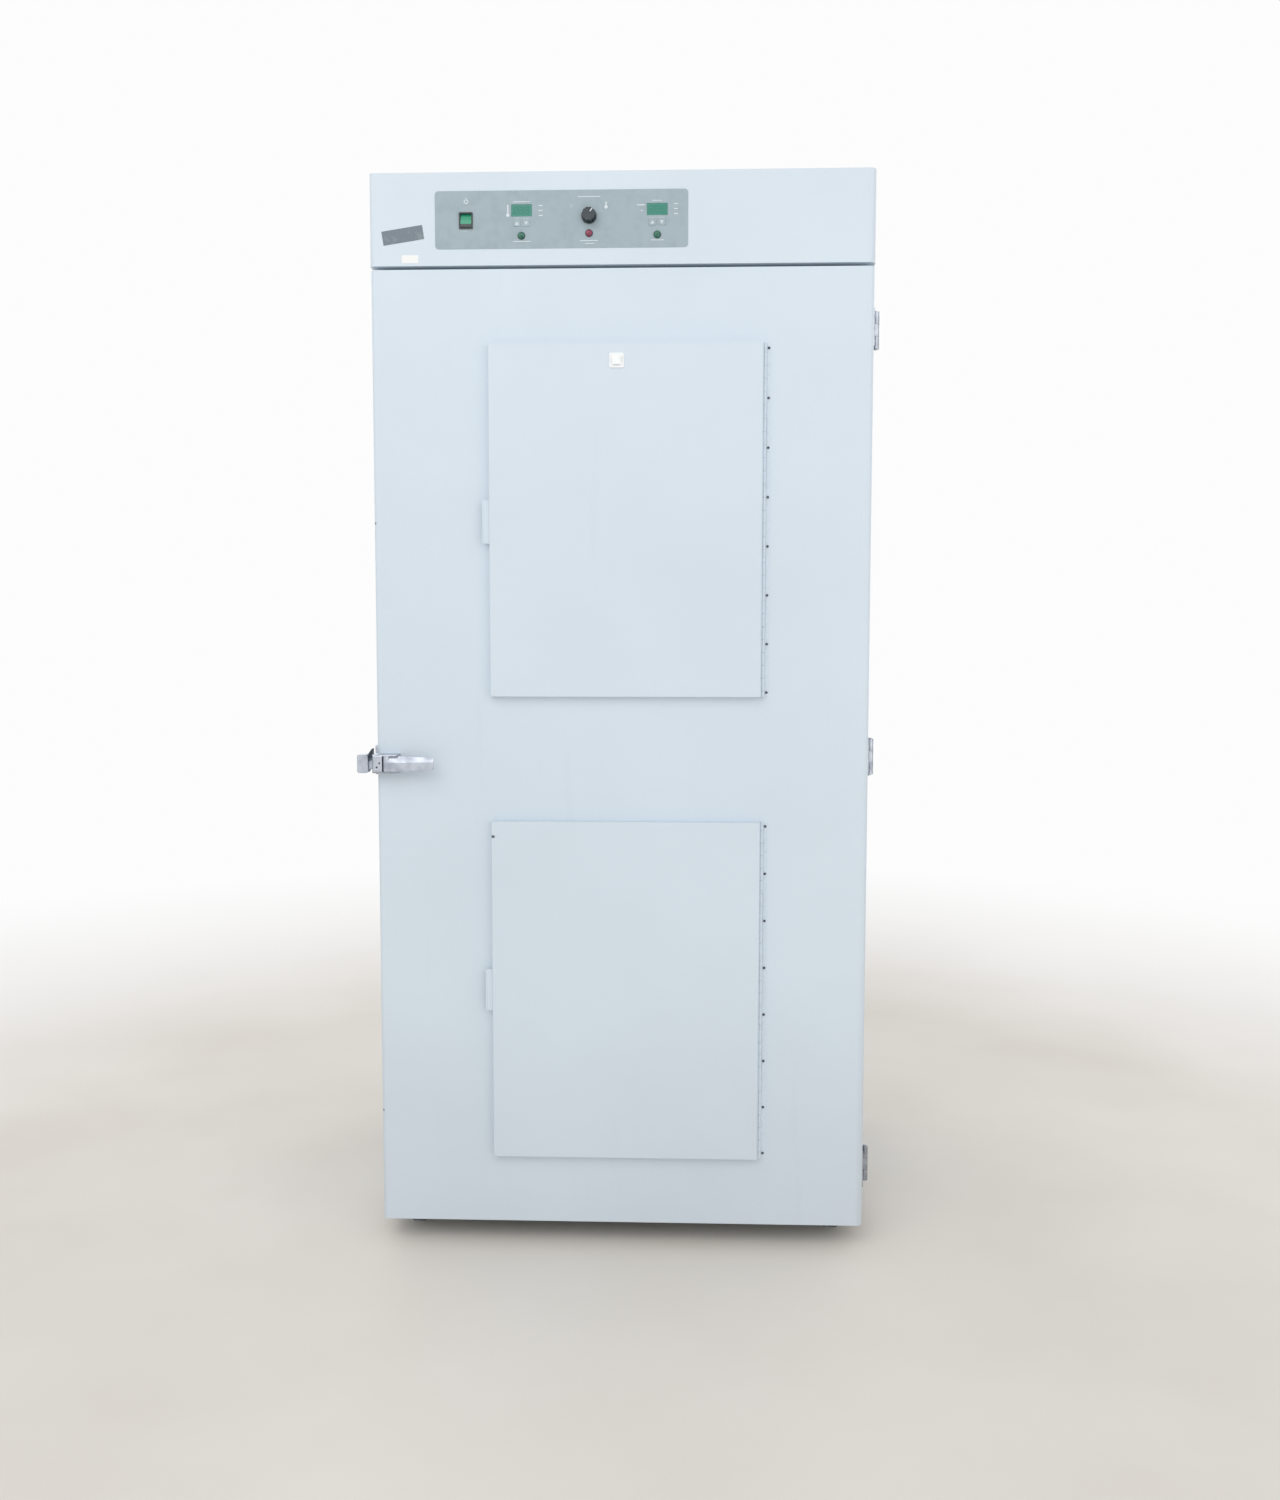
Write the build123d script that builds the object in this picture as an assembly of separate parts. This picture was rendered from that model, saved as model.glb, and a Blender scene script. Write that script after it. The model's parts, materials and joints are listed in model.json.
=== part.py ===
from build123d import *
import math
import os

os.makedirs("parts", exist_ok=True)

# A tall forced-air laboratory oven with one insulated door. All sizes are in millimetres.
# X runs to the right as seen from the front, Y from front to back, Z up from the floor.
# X is zero on the cabinet's centre plane and Y is zero halfway along the whole depth.

# Casing
cabinet_width = 990.0
cabinet_depth = 770.0
head_height = 178.0
foot_height = 40.0
case_sheet = 1.5
case_flange = 22.0
frame_plate = 2.5
tray_lip = 50.0
cover_lip = 20.0
deck_lip = 18.0

# Levelling feet
foot_radius = 24.0
foot_pad = 9.0
foot_stud_radius = 6.0
foot_neck_radius = 11.0
foot_inset = 55.0
foot_boss_radius = 13.0
foot_boss_height = 28.0
foot_engagement = 20.0
thread_clearance = 0.3

# Chamber liner and air ducts
liner_sheet = 1.2
wall_thickness = 62.0
mouth_bottom_margin = 80.0
mouth_top_margin = 64.0
duct_width = 36.0
duct_setback = 30.0
plenum_height = 115.0
slot_length = 120.0
slot_width = 8.0
slot_columns = 2
slot_rows = 11
slot_end_margin = 110.0

# Shelving
standard_width = 20.0
standard_depth = 8.0
standard_inset = 110.0
standard_end_margin = 22.0
standard_pitch = 100.0
standard_slot_width = 10.0
standard_slot_height = 4.0
clip_thickness = 3.0
clip_ledge = 16.0
clip_drop = 14.0
clip_play = 0.3
shelf_count = 4
shelf_first_height = 350.0
shelf_spacing = 300.0
shelf_sheet = 1.2
shelf_lip = 18.0
shelf_side_play = 3.0
shelf_end_play = 12.0
shelf_slot_width = 12.0
shelf_slot_columns = 10
shelf_slot_border = 40.0

# Blower and its motor
wheel_radius = 95.0
wheel_height = 56.0
wheel_plate = 2.0
wheel_blades = 10
blade_inner_radius = 42.0
blade_thickness = 2.0
blade_sweep_angle = 34.0
hub_radius = 15.0
hub_height = 30.0
shaft_radius = 6.0
shaft_play = 0.05
scroll_gap = 14.0
scroll_step = 16.0
scroll_height = 80.0
scroll_sheet = 1.5
scroll_inlet_radius = 66.0
blower_x = 30.0
divider_x = -130.0
motor_width = 108.0
motor_corner = 16.0
motor_height = 92.0
motor_flange_width = 148.0
motor_flange_corner = 24.0
motor_flange = 6.0
motor_bell_radius = 32.0
motor_bell_height = 18.0
motor_slot = 5.0
motor_slot_count = 4
shaft_hole_play = 4.0

# Strip heaters and temperature probes
heater_count = 3
heater_pitch = 74.0
heater_width = 38.0
heater_thickness = 8.0
heater_length = 420.0
heater_drop = 55.0
heater_first_x = -185.0
heater_post_width = 12.0
heater_post_thickness = 4.0
heater_post_inset = 16.0
heater_post_spacing = 30.0
heater_terminal_height = 20.0
heater_hanger_thickness = 2.0
heater_way_margin = 8.0
roof_plate = 3.0
roof_plate_lap = 10.0
probe_radius = 3.0
probe_length = 140.0
probe_x = 300.0
probe_spacing = 60.0
probe_nut_radius = 8.0
probe_nut_height = 9.0

# Door
door_side_inset = 1.0
door_height = 1921.0
door_bottom = 48.0
door_thickness = 58.0
door_gap = 4.0
head_gap = 7.0
door_round_left = 8.0
door_round_right = 13.0
door_plug_depth = 12.0
door_plug_margin = 14.0
gasket_width = 22.0
gasket_round = 1.4
gasket_margin = 8.0
gasket_squeeze_gap = 0.3

# Windows in the door, behind the covers
window_width = 440.0
window_height = 590.0
window_frame_width = 14.0
window_rabbet = 8.0
pane_thickness = 4.0
pane_play = 0.5

# Window covers
cover_width = 538.0
cover_height = 690.0
cover_left = -261.0
upper_cover_rise = 1084.0
lower_cover_rise = 142.5
cover_depth = 17.0
cover_sheet = 1.5
cover_back_gap = 0.5
cover_round = 2.0
cover_tab_length = 14.0
cover_tab_height = 84.5
cover_tab_thickness = 2.0
cover_tab_offset = 11.0
cover_tab_curl = 3.5

# Piano hinges of the covers
piano_radius = 3.8
piano_pin_radius = 1.6
piano_play = 0.05
piano_leaf = 1.2
piano_leaf_width = 12.0
piano_side_gap = 0.4
piano_face_gap = 0.8
piano_knuckles = 5
piano_knuckle_gap = 0.5

# Magnetic catches of the covers
catch_width = 12.0
catch_height = 46.0
catch_gap = 0.4
catch_inset = 12.0
catch_step = 3.0

# Cable tie mount on the upper cover
tie_size = 28.5
tie_base = 2.2
tie_round = 3.0
tie_saddle = 17.0
tie_rise = 5.0
tie_channel_width = 8.0
tie_channel_height = 3.2
tie_centre_x = -8.4
tie_drop = 33.5

# Door hinges
hinge_height = 73.0
hinge_end_offset = 110.0
hinge_barrel_radius = 7.0
hinge_pin_radius = 3.4
hinge_pin_end = 1.5
hinge_play = 0.05
hinge_leaf = 3.0
hinge_leaf_width = 32.0
hinge_offset = 9.5
hinge_set_forward = 1.0
hinge_finger = 4.0
hinge_leaf_gap = 1.0
hinge_knuckle_gap = 0.5

# Latch and strike
latch_rise = 949.0
latch_overhang = 4.0
latch_length = 51.0
latch_height = 38.0
latch_depth = 32.0
latch_wall = 3.0
latch_round = 5.0
bolt_reach = 8.0
bolt_height = 16.0
bolt_front = 21.0
bolt_thickness = 9.0
bolt_taper = 6.0
bolt_tail_thickness = 6.0
bolt_web = 6.0
bolt_tail_front = 9.0
bolt_travel = 8.5
crank_radius = 20.0
crank_pin_radius = 2.0
crank_pin_play = 0.4
crank_thickness = 5.0
crank_offset_z = 8.5
lever_pivot_inset = 28.0
lever_pivot_depth = 25.0
lever_hub_radius = 7.0
lever_pin_radius = 2.5
lever_length = 97.0
lever_height = 31.0
lever_tip_height = 25.0
lever_root_thickness = 9.0
lever_tip_thickness = 5.0
lever_root_bevel = 13.0
lever_tip_bevel = 8.0
lever_bevel_slope = 0.54
lever_tip_round = 4.0
lever_reach = 38.0
lever_play = 0.4
strike_gap = 0.5
strike_width = 21.5
strike_height = 37.0
strike_forward = 30.0
strike_hook_depth = 26.0
strike_round = 4.0
strike_arm_height = 26.0
strike_arm_thickness = 6.0
strike_base_length = 46.0
strike_base_height = 60.0
wedge_width = 7.0
wedge_depth = 18.0
wedge_low = 11.0
wedge_high = 30.0

# Control head and its panel
overlay_left = -365.0
overlay_width = 495.0
overlay_height = 110.5
overlay_rise = 31.5
overlay_thickness = 0.8
overlay_round = 7.0
part_play = 0.3

# Power switch
rocker_x = -304.2
rocker_rise = 85.3
rocker_width = 27.0
rocker_height = 31.5
rocker_bezel = 2.2
rocker_bezel_width = 2.4
rocker_body_depth = 26.0
rocker_pivot_depth = 4.0
rocker_face_rise = 5.5
rocker_paddle_back = 4.0
rocker_tilt = 10.0
rocker_play = 0.35
rocker_pin_radius = 1.5
rocker_pin_play = 0.05

# Displays and keys, one group for each readout
readout_xs = (-195.0, 70.0)
readout_rise = 104.0
readout_width = 40.0
readout_height = 22.5
readout_thickness = 3.0
readout_recess = 0.6
key_rise = 79.5
key_spacing = 18.3
key_width = 14.0
key_height = 12.0
key_corner = 1.2
key_proud = 0.5
key_depth = 3.4
key_travel = 0.5
key_play = 0.3
board_width = 96.0
board_height = 96.0
board_thickness = 1.6
board_rise = 87.0
board_gap = 6.0
switch_width = 6.0
standoff_radius = 3.0
standoff_inset = 5.0

# Pilot lamps
green_lamp_xs = (-195.5, 70.0)
green_lamp_rise = 55.8
red_lamp_x = -63.0
red_lamp_rise = 59.5
lamp_radius = 6.4
lamp_lens_height = 2.4
lamp_body_radius = 5.0
lamp_body_depth = 24.0

# Limit thermostat and its knob
knob_x = -63.0
knob_rise = 92.0
knob_radius = 15.0
knob_skirt = 3.0
knob_grip_radius = 12.5
knob_height = 17.0
knob_flutes = 10
knob_flute_radius = 2.0
knob_air_gap = 0.5
knob_pointer_angle = 38.0
knob_pointer_width = 2.0
knob_shaft_radius = 3.0
knob_shaft_play = 0.05
thermostat_bush_radius = 5.0
thermostat_width = 44.0
thermostat_depth = 26.0
thermostat_shaft_depth = 20.0

# Power relay, studs, plug and supply gland
relay_width = 110.0
relay_depth = 70.0
relay_height = 48.0
relay_fins = 7
relay_fin = 3.0
relay_x = -280.0
relay_setback = 260.0
stud_neck_radius = 4.5
stud_neck = 5.0
stud_head_radius = 7.5
stud_head = 6.0
stud_rise = 87.0
stud_setback = 60.0
plug_x = -283.0
plug_radius = 6.0
plug_rise = 5.0
plug_setback = 24.0
gland_x = 380.0
gland_rise = 88.0
gland_radius = 16.0
gland_neck_radius = 11.0
gland_nut_radius = 13.0
gland_bore_radius = 7.5
gland_length = 22.0
gland_flange = 4.0
gland_inside = 8.0

# Louvres in the back panel
louvre_count = 6
louvre_width = 180.0
louvre_pitch = 17.0
louvre_height = 9.0
louvre_reach = 6.0
louvre_rise = 26.0
louvre_xs = (-230.0, 110.0)

# Planes worked out from the sizes above
half_width = cabinet_width / 2
half_door = half_width - door_side_inset
front_reach = door_gap + door_thickness + lever_reach
rear_reach = gland_length
cabinet_front = -(cabinet_depth + rear_reach - front_reach) / 2
cabinet_back = cabinet_front + cabinet_depth
door_back = cabinet_front - door_gap
door_front = door_back - door_thickness
door_top = door_bottom + door_height
head_bottom = door_top + head_gap
head_top = head_bottom + head_height
inner_front = cabinet_front + frame_plate
inner_back = cabinet_back - case_sheet
case_inside = half_width - case_sheet
chamber_bottom = door_bottom + mouth_bottom_margin
chamber_top = door_top - mouth_top_margin
core_front = inner_front + case_sheet
core_back = inner_back - case_sheet
liner_half = case_inside - wall_thickness
liner_back = core_back - wall_thickness
liner_floor_under = chamber_bottom - liner_sheet
liner_ceiling_over = chamber_top + liner_sheet
duct_inside = liner_half - duct_width
duct_outside = duct_inside + liner_sheet
duct_front = inner_front + duct_setback
plenum_floor = chamber_top - plenum_height
plenum_floor_over = plenum_floor + liner_sheet
deck_over = head_bottom + case_sheet
blower_y = (duct_front + liner_back) / 2
scroll_bottom = chamber_top - scroll_height
wheel_low = scroll_bottom + (scroll_height - wheel_height) / 2
wheel_high = wheel_low + wheel_height
motor_top = deck_over + motor_flange + motor_height
heater_z = chamber_top - heater_drop
heater_low_y = blower_y - heater_length / 2
heater_high_y = blower_y + heater_length / 2
heater_xs = [heater_first_x - index * heater_pitch for index in range(heater_count)]
heater_post_ys = [heater_low_y + heater_post_inset + index * heater_post_spacing for index in range(2)]
heater_top = deck_over + roof_plate + heater_terminal_height
standard_bottom = chamber_bottom + standard_end_margin
standard_top = plenum_floor - standard_end_margin
standard_face = duct_inside - standard_depth
standard_ys = (duct_front + standard_inset, liner_back - standard_inset)
head_face_in = door_front + case_sheet
overlay_front = door_front - overlay_thickness
overlay_bottom = head_bottom + overlay_rise
rocker_z = head_bottom + rocker_rise
readout_z = head_bottom + readout_rise
key_z = head_bottom + key_rise
board_z = head_bottom + board_rise
green_lamp_z = head_bottom + green_lamp_rise
red_lamp_z = head_bottom + red_lamp_rise
knob_z = head_bottom + knob_rise
stud_z = head_bottom + stud_rise
gland_z = head_bottom + gland_rise
louvre_bottom = head_bottom + louvre_rise
upper_cover_bottom = door_bottom + upper_cover_rise
lower_cover_bottom = door_bottom + lower_cover_rise
cover_right = cover_left + cover_width
cover_front = door_front - cover_depth
cover_back = door_front - cover_back_gap
piano_x = cover_right + piano_side_gap + piano_radius
piano_y = door_front - piano_face_gap - piano_radius
window_centre_x = cover_left + cover_width / 2
hinge_x = half_width + hinge_offset
hinge_y = cabinet_front - hinge_set_forward
hinge_zs = (door_bottom + hinge_end_offset, door_bottom + door_height / 2, door_top - hinge_end_offset)
latch_left = -half_door - latch_overhang
latch_right = latch_left + latch_length
latch_centre_z = door_bottom + latch_rise
bolt_tip = latch_left - bolt_reach
lever_pivot_x = latch_left + lever_pivot_inset
lever_end = lever_pivot_x + lever_length
latch_low = latch_centre_z - latch_height / 2
latch_high = latch_centre_z + latch_height / 2
lever_pivot_y = door_front - lever_pivot_depth
strike_inside = bolt_tip - strike_gap
strike_outside = strike_inside - strike_width
strike_front = door_front - strike_forward


def block(x_low, x_high, y_low, y_high, z_low, z_high):
    """A box between two corners."""
    centre = ((x_low + x_high) / 2, (y_low + y_high) / 2, (z_low + z_high) / 2)
    return Pos(*centre) * Box(x_high - x_low, y_high - y_low, z_high - z_low)


def rod_x(y, z, x_low, x_high, radius):
    """A round bar along X."""
    return Pos((x_low + x_high) / 2, y, z) * Rot(0, 90, 0) * Cylinder(radius, x_high - x_low)


def rod_y(x, z, y_low, y_high, radius):
    """A round bar along Y."""
    return Pos(x, (y_low + y_high) / 2, z) * Rot(90, 0, 0) * Cylinder(radius, y_high - y_low)


def rod_z(x, y, z_low, z_high, radius):
    """A round bar along Z."""
    return Pos(x, y, (z_low + z_high) / 2) * Cylinder(radius, z_high - z_low)


def hexagon_z(x, y, z_low, z_high, radius):
    """A hexagonal bar along Z."""
    return Pos(x, y, z_low) * extrude(RegularPolygon(radius, 6), z_high - z_low)


def hexagon_y(x, z, y_low, y_high, radius):
    """A hexagonal bar along Y."""
    face = Plane((x, y_low, z), x_dir=(1, 0, 0), z_dir=(0, 1, 0)) * RegularPolygon(radius, 6)
    return extrude(face, y_high - y_low)


def cut_corner_plate(width, height, corner):
    """A flat outline with its four corners cut off."""
    outline = Rectangle(width, height)
    return chamfer(outline.vertices(), corner)


def plate_xz(x, z, width, height, y_low, y_high, radius):
    """A plate that faces the front, with rounded corners."""
    face = Plane((x, y_low, z), x_dir=(1, 0, 0), z_dir=(0, 1, 0)) * RectangleRounded(width, height, radius)
    return extrude(face, y_high - y_low)


def front_rounded(x_low, x_high, y_low, y_high, z_low, z_high, left_radius, right_radius):
    """A box whose two upright front edges are rounded."""
    outline = Pos((x_low + x_high) / 2, (y_low + y_high) / 2) * Rectangle(x_high - x_low, y_high - y_low)
    left_corner = outline.vertices().group_by(Axis.Y)[0].sort_by(Axis.X)[0]
    outline = fillet(left_corner, left_radius)
    right_corner = outline.vertices().group_by(Axis.Y)[0].sort_by(Axis.X)[-1]
    outline = fillet(right_corner, right_radius)
    return Pos(0, 0, z_low) * extrude(outline, z_high - z_low)


def front_pan(x_low, x_high, y_low, y_high, z_low, z_high, sheet, left_radius, right_radius):
    """A folded sheet pan with its face to the front and its back open."""
    outside = front_rounded(x_low, x_high, y_low, y_high, z_low, z_high, left_radius, right_radius)
    inside = front_rounded(
        x_low + sheet,
        x_high - sheet,
        y_low + sheet,
        y_high + sheet,
        z_low + sheet,
        z_high - sheet,
        left_radius - sheet,
        right_radius - sheet,
    )
    return outside - inside


def spaced(low, high, count):
    """Evenly spaced places, each in the middle of its share of a length."""
    share = (high - low) / count
    return [low + share * (index + 0.5) for index in range(count)]


def save(node, *pieces):
    """Write the pieces of one node, each as its own solid."""
    solids = [solid for piece in pieces for solid in piece.solids()]
    shape = solids[0] if len(solids) == 1 else Compound(solids)
    export_step(shape, f"parts/{node}.step")


# Casing

def foot_places():
    """Centres of the four feet."""
    x = half_width - foot_inset
    ys = (core_front + foot_inset, core_back - foot_inset)
    return [(side * x, y) for side in (-1, 1) for y in ys]


def levelling_feet():
    """A hexagonal pad and neck, with a stud in a boss of the tray."""
    pieces = []
    for x, y in foot_places():
        pad = hexagon_z(x, y, 0, foot_pad, foot_radius)
        neck = hexagon_z(x, y, foot_pad, foot_height, foot_neck_radius)
        stud = rod_z(x, y, foot_height, foot_height + foot_engagement, foot_stud_radius)
        pieces.append(pad + neck + stud)
    return pieces


def base_tray():
    """The sheet tray under the cabinet, with a threaded boss for each foot."""
    outside = block(-case_inside, case_inside, core_front, core_back, foot_height, foot_height + tray_lip)
    inside = block(
        -case_inside + case_sheet,
        case_inside - case_sheet,
        core_front + case_sheet,
        core_back - case_sheet,
        foot_height + case_sheet,
        foot_height + tray_lip,
    )
    tray = outside - inside
    for x, y in foot_places():
        tray = tray + hexagon_z(x, y, foot_height, foot_height + foot_boss_height, foot_boss_radius)
        bore_top = foot_height + foot_engagement + thread_clearance
        tray = tray - rod_z(x, y, foot_height, bore_top, foot_stud_radius + thread_clearance)
    return tray


def side_panel(side):
    """A tall side sheet with inward flanges at its front and back edges."""
    top = head_top - case_sheet
    web = block(case_inside, half_width, inner_front, inner_back, door_bottom, top)
    front = block(half_width - case_flange, half_width, inner_front, core_front, door_bottom, top)
    back = block(half_width - case_flange, half_width, core_back, inner_back, door_bottom, top)
    panel = web + front + back
    return panel if side > 0 else mirror(panel, Plane.YZ)


def louvre(x, z):
    """One pressed hood, open at its lower side, and the slot behind it."""
    hood_points = [(cabinet_back, z), (cabinet_back + louvre_reach, z), (cabinet_back, z + louvre_height)]
    hollow_points = [
        (inner_back, z - case_sheet),
        (cabinet_back + louvre_reach - case_sheet * 1.5, z - case_sheet),
        (cabinet_back + louvre_reach - case_sheet * 1.5, z),
        (cabinet_back, z + louvre_height - case_sheet * 1.5),
        (inner_back, z + louvre_height - case_sheet * 1.5),
    ]
    low_x = x - louvre_width / 2
    side_plane = Plane((low_x, 0, 0), x_dir=(0, 1, 0), z_dir=(1, 0, 0))
    hood = extrude(side_plane * make_face(Polyline(*hood_points, close=True)), louvre_width)
    hollow_face = side_plane * make_face(Polyline(*hollow_points, close=True))
    hollow = Pos(case_sheet, 0, 0) * extrude(hollow_face, louvre_width - 2 * case_sheet)
    return hood, hollow


def back_panel():
    """The back sheet with louvres at the head and a hole for the supply gland."""
    panel = block(-half_width, half_width, inner_back, cabinet_back, door_bottom, head_top - case_sheet)
    for x in louvre_xs:
        for index in range(louvre_count):
            hood, hollow = louvre(x, louvre_bottom + index * louvre_pitch)
            panel = panel + hood - hollow
    gland_hole = rod_y(gland_x, gland_z, inner_back, cabinet_back, gland_neck_radius + part_play)
    return panel - gland_hole


def top_cover():
    """The lid over the electrical space, with a lip inside each side panel."""
    lid = block(-half_width, half_width, inner_front, cabinet_back, head_top - case_sheet, head_top)
    for side in (-1, 1):
        outer = side * case_inside
        inner = side * (case_inside - case_sheet)
        low_x = min(outer, inner)
        high_x = max(outer, inner)
        lip_low = head_top - case_sheet - cover_lip
        lid = lid + block(low_x, high_x, core_front, core_back, lip_low, head_top - case_sheet)
    return lid


def control_head():
    """The pressed head over the door, open at the back, with holes for the controls."""
    head = front_pan(
        -half_width,
        half_width,
        door_front,
        inner_front,
        head_bottom,
        head_top,
        case_sheet,
        door_round_left,
        door_round_right,
    )
    return head - head_holes()


def front_frame():
    """The frame around the chamber's mouth: two stiles and two rails."""
    left = block(-half_width, -liner_half, cabinet_front, inner_front, door_bottom, head_bottom)
    right = block(liner_half, half_width, cabinet_front, inner_front, door_bottom, head_bottom)
    bottom = block(-liner_half, liner_half, cabinet_front, inner_front, door_bottom, chamber_bottom)
    top = block(-liner_half, liner_half, cabinet_front, inner_front, chamber_top, head_bottom)
    return [left, right, bottom, top]


def shaft_opening():
    """The clear way for the blower's shaft through the roof of the chamber."""
    return rod_z(blower_x, blower_y, scroll_bottom, motor_top, shaft_radius + shaft_hole_play)


def heater_way():
    """The cut-out in the roof for the posts of all the strip heaters."""
    return block(
        heater_xs[-1] - heater_post_width / 2 - heater_way_margin,
        heater_xs[0] + heater_post_width / 2 + heater_way_margin,
        heater_post_ys[0] - heater_post_thickness / 2 - heater_way_margin,
        heater_post_ys[1] + heater_post_thickness / 2 + heater_way_margin,
        chamber_top,
        deck_over,
    )


def probe_places():
    """Where the two temperature probes pass through the roof."""
    return [(probe_x, blower_y - probe_spacing / 2), (probe_x, blower_y + probe_spacing / 2)]


def probe_way():
    """The cut-out in the roof for both temperature probes."""
    (x, low_y), (x, high_y) = probe_places()
    half = probe_nut_radius
    return block(x - half, x + half, low_y - half, high_y + half, chamber_top, deck_over)


def roof_ways():
    """Everything that passes through the roof of the chamber."""
    return [shaft_opening(), heater_way(), probe_way()]


def roof_cover_plate(way):
    """The plate on the deck that closes a cut-out in the roof."""
    box = way.bounding_box()
    lap = roof_plate_lap
    return block(
        box.min.X - lap, box.max.X + lap, box.min.Y - lap, box.max.Y + lap, deck_over, deck_over + roof_plate
    )


def cabinet_insulation():
    """Mineral wool slabs between the liner and the casing."""
    tray_inside = case_inside - case_sheet
    floor_slab = block(
        -tray_inside,
        tray_inside,
        core_front + case_sheet,
        core_back - case_sheet,
        foot_height + case_sheet,
        liner_floor_under,
    )
    for x, y in foot_places():
        half = foot_boss_radius
        boss_top = foot_height + foot_boss_height
        floor_slab = floor_slab - block(x - half, x + half, y - half, y + half, foot_height, boss_top)
    liner_outside = liner_half + liner_sheet
    slabs = [floor_slab]
    for side in (-1, 1):
        low_x = min(side * liner_outside, side * case_inside)
        high_x = max(side * liner_outside, side * case_inside)
        slabs.append(block(low_x, high_x, core_front, core_back, liner_floor_under, liner_ceiling_over))
    slabs.append(
        block(
            -liner_outside,
            liner_outside,
            liner_back + liner_sheet,
            core_back,
            liner_floor_under,
            liner_ceiling_over,
        )
    )
    roof = block(-case_inside, case_inside, core_front, core_back, liner_ceiling_over, head_bottom)
    half_shaft_way = shaft_radius + shaft_hole_play
    shaft_way = block(
        blower_x - half_shaft_way,
        blower_x + half_shaft_way,
        blower_y - half_shaft_way,
        blower_y + half_shaft_way,
        chamber_top,
        deck_over,
    )
    slabs.append(roof - [shaft_way, heater_way(), probe_way()])
    return slabs


def chamber_liner():
    """Five sheets welded into the box that holds the hot air."""
    outside = liner_half + liner_sheet
    left = block(-outside, -liner_half, inner_front, liner_back, liner_floor_under, liner_ceiling_over)
    right = mirror(left, Plane.YZ)
    floor_sheet = block(-liner_half, liner_half, inner_front, liner_back, liner_floor_under, chamber_bottom)
    ceiling = block(-liner_half, liner_half, inner_front, liner_back, chamber_top, liner_ceiling_over)
    ceiling = ceiling - roof_ways()
    back_low = liner_back
    back = block(
        -outside, outside, back_low, back_low + liner_sheet, liner_floor_under, liner_ceiling_over
    )
    return [left, right, floor_sheet, ceiling, back]


def head_deck():
    """The plate that carries the motor, over the roof insulation."""
    deck = block(-case_inside, case_inside, core_front, core_back, head_bottom, deck_over)
    for side in (-1, 1):
        low_x = min(side * case_inside, side * (case_inside - case_sheet))
        high_x = max(side * case_inside, side * (case_inside - case_sheet))
        deck = deck + block(low_x, high_x, core_front, core_back, deck_over, deck_over + deck_lip)
    return deck - roof_ways()


# Air ducts and shelving

def duct_panel(side):
    """A slotted wall with flanges at the front, back and bottom, open at the top."""
    web = block(duct_inside, duct_outside, duct_front, liner_back, chamber_bottom, plenum_floor)
    zs = (chamber_bottom, plenum_floor)
    front = block(duct_inside, liner_half, duct_front, duct_front + liner_sheet, *zs)
    back = block(duct_inside, liner_half, liner_back - liner_sheet, liner_back, *zs)
    bottom_top = chamber_bottom + liner_sheet
    bottom = block(duct_inside, liner_half, duct_front, liner_back, chamber_bottom, bottom_top)
    panel = web + front + back + bottom
    slots = []
    slot_ys = spaced(standard_ys[0], standard_ys[1], slot_columns)
    for z in spaced(chamber_bottom + slot_end_margin, plenum_floor - slot_end_margin, slot_rows):
        for y in slot_ys:
            slot_zs = (z - slot_width / 2, z + slot_width / 2)
            slot_span = (y - slot_length / 2, y + slot_length / 2)
            slots.append(block(duct_inside, duct_outside, *slot_span, *slot_zs))
    panel = panel - slots
    return panel if side > 0 else mirror(panel, Plane.YZ)


def ceiling_panel():
    """The sheet under the air plenum, with a front flange up to the liner."""
    floor_sheet = block(
        -duct_outside, duct_outside, duct_front, liner_back, plenum_floor, plenum_floor_over
    )
    flange = block(
        -liner_half, liner_half, duct_front, duct_front + liner_sheet, plenum_floor, chamber_top
    )
    return floor_sheet + flange


def standard_slot_zs():
    """Heights of the slots in a shelf standard."""
    count = int((standard_top - standard_bottom) / standard_pitch)
    return [standard_bottom + standard_pitch * (index + 0.5) for index in range(count)]


def shelf_slot_zs():
    """Heights of the slots that hold the shelves."""
    slots = standard_slot_zs()
    wanted = [chamber_bottom + shelf_first_height + index * shelf_spacing for index in range(shelf_count)]
    return [min(slots, key=lambda slot, height=height: abs(slot - height)) for height in wanted]


def shelf_standards():
    """Four upright channels with a slot at every step."""
    pieces = []
    for y in standard_ys:
        outside = block(
            standard_face,
            duct_inside,
            y - standard_width / 2,
            y + standard_width / 2,
            standard_bottom,
            standard_top,
        )
        inside = block(
            standard_face + liner_sheet,
            duct_inside,
            y - standard_width / 2 + liner_sheet,
            y + standard_width / 2 - liner_sheet,
            standard_bottom,
            standard_top,
        )
        channel = outside - inside
        slots = []
        for z in standard_slot_zs():
            slots.append(
                block(
                    standard_face,
                    standard_face + liner_sheet,
                    y - standard_slot_width / 2,
                    y + standard_slot_width / 2,
                    z - standard_slot_height / 2,
                    z + standard_slot_height / 2,
                )
            )
        channel = channel - slots
        pieces += [channel, mirror(channel, Plane.YZ)]
    return pieces


def shelf_clips():
    """A bent clip in each standard for each shelf: tongue, ledge and drop leg."""
    pieces = []
    half_clip = standard_slot_width / 2 - clip_play
    ledge_end = standard_face - clip_ledge
    for z in shelf_slot_zs():
        low_z = z - clip_thickness / 2
        high_z = z + clip_thickness / 2
        for y in standard_ys:
            tongue_end = standard_face + standard_depth / 2
            tongue = block(ledge_end, tongue_end, y - half_clip, y + half_clip, low_z, high_z)
            leg_face = standard_face - clip_thickness
            leg = block(leg_face, standard_face, y - half_clip, y + half_clip, low_z - clip_drop, high_z)
            clip = tongue + leg
            pieces += [clip, mirror(clip, Plane.YZ)]
    return pieces


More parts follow.
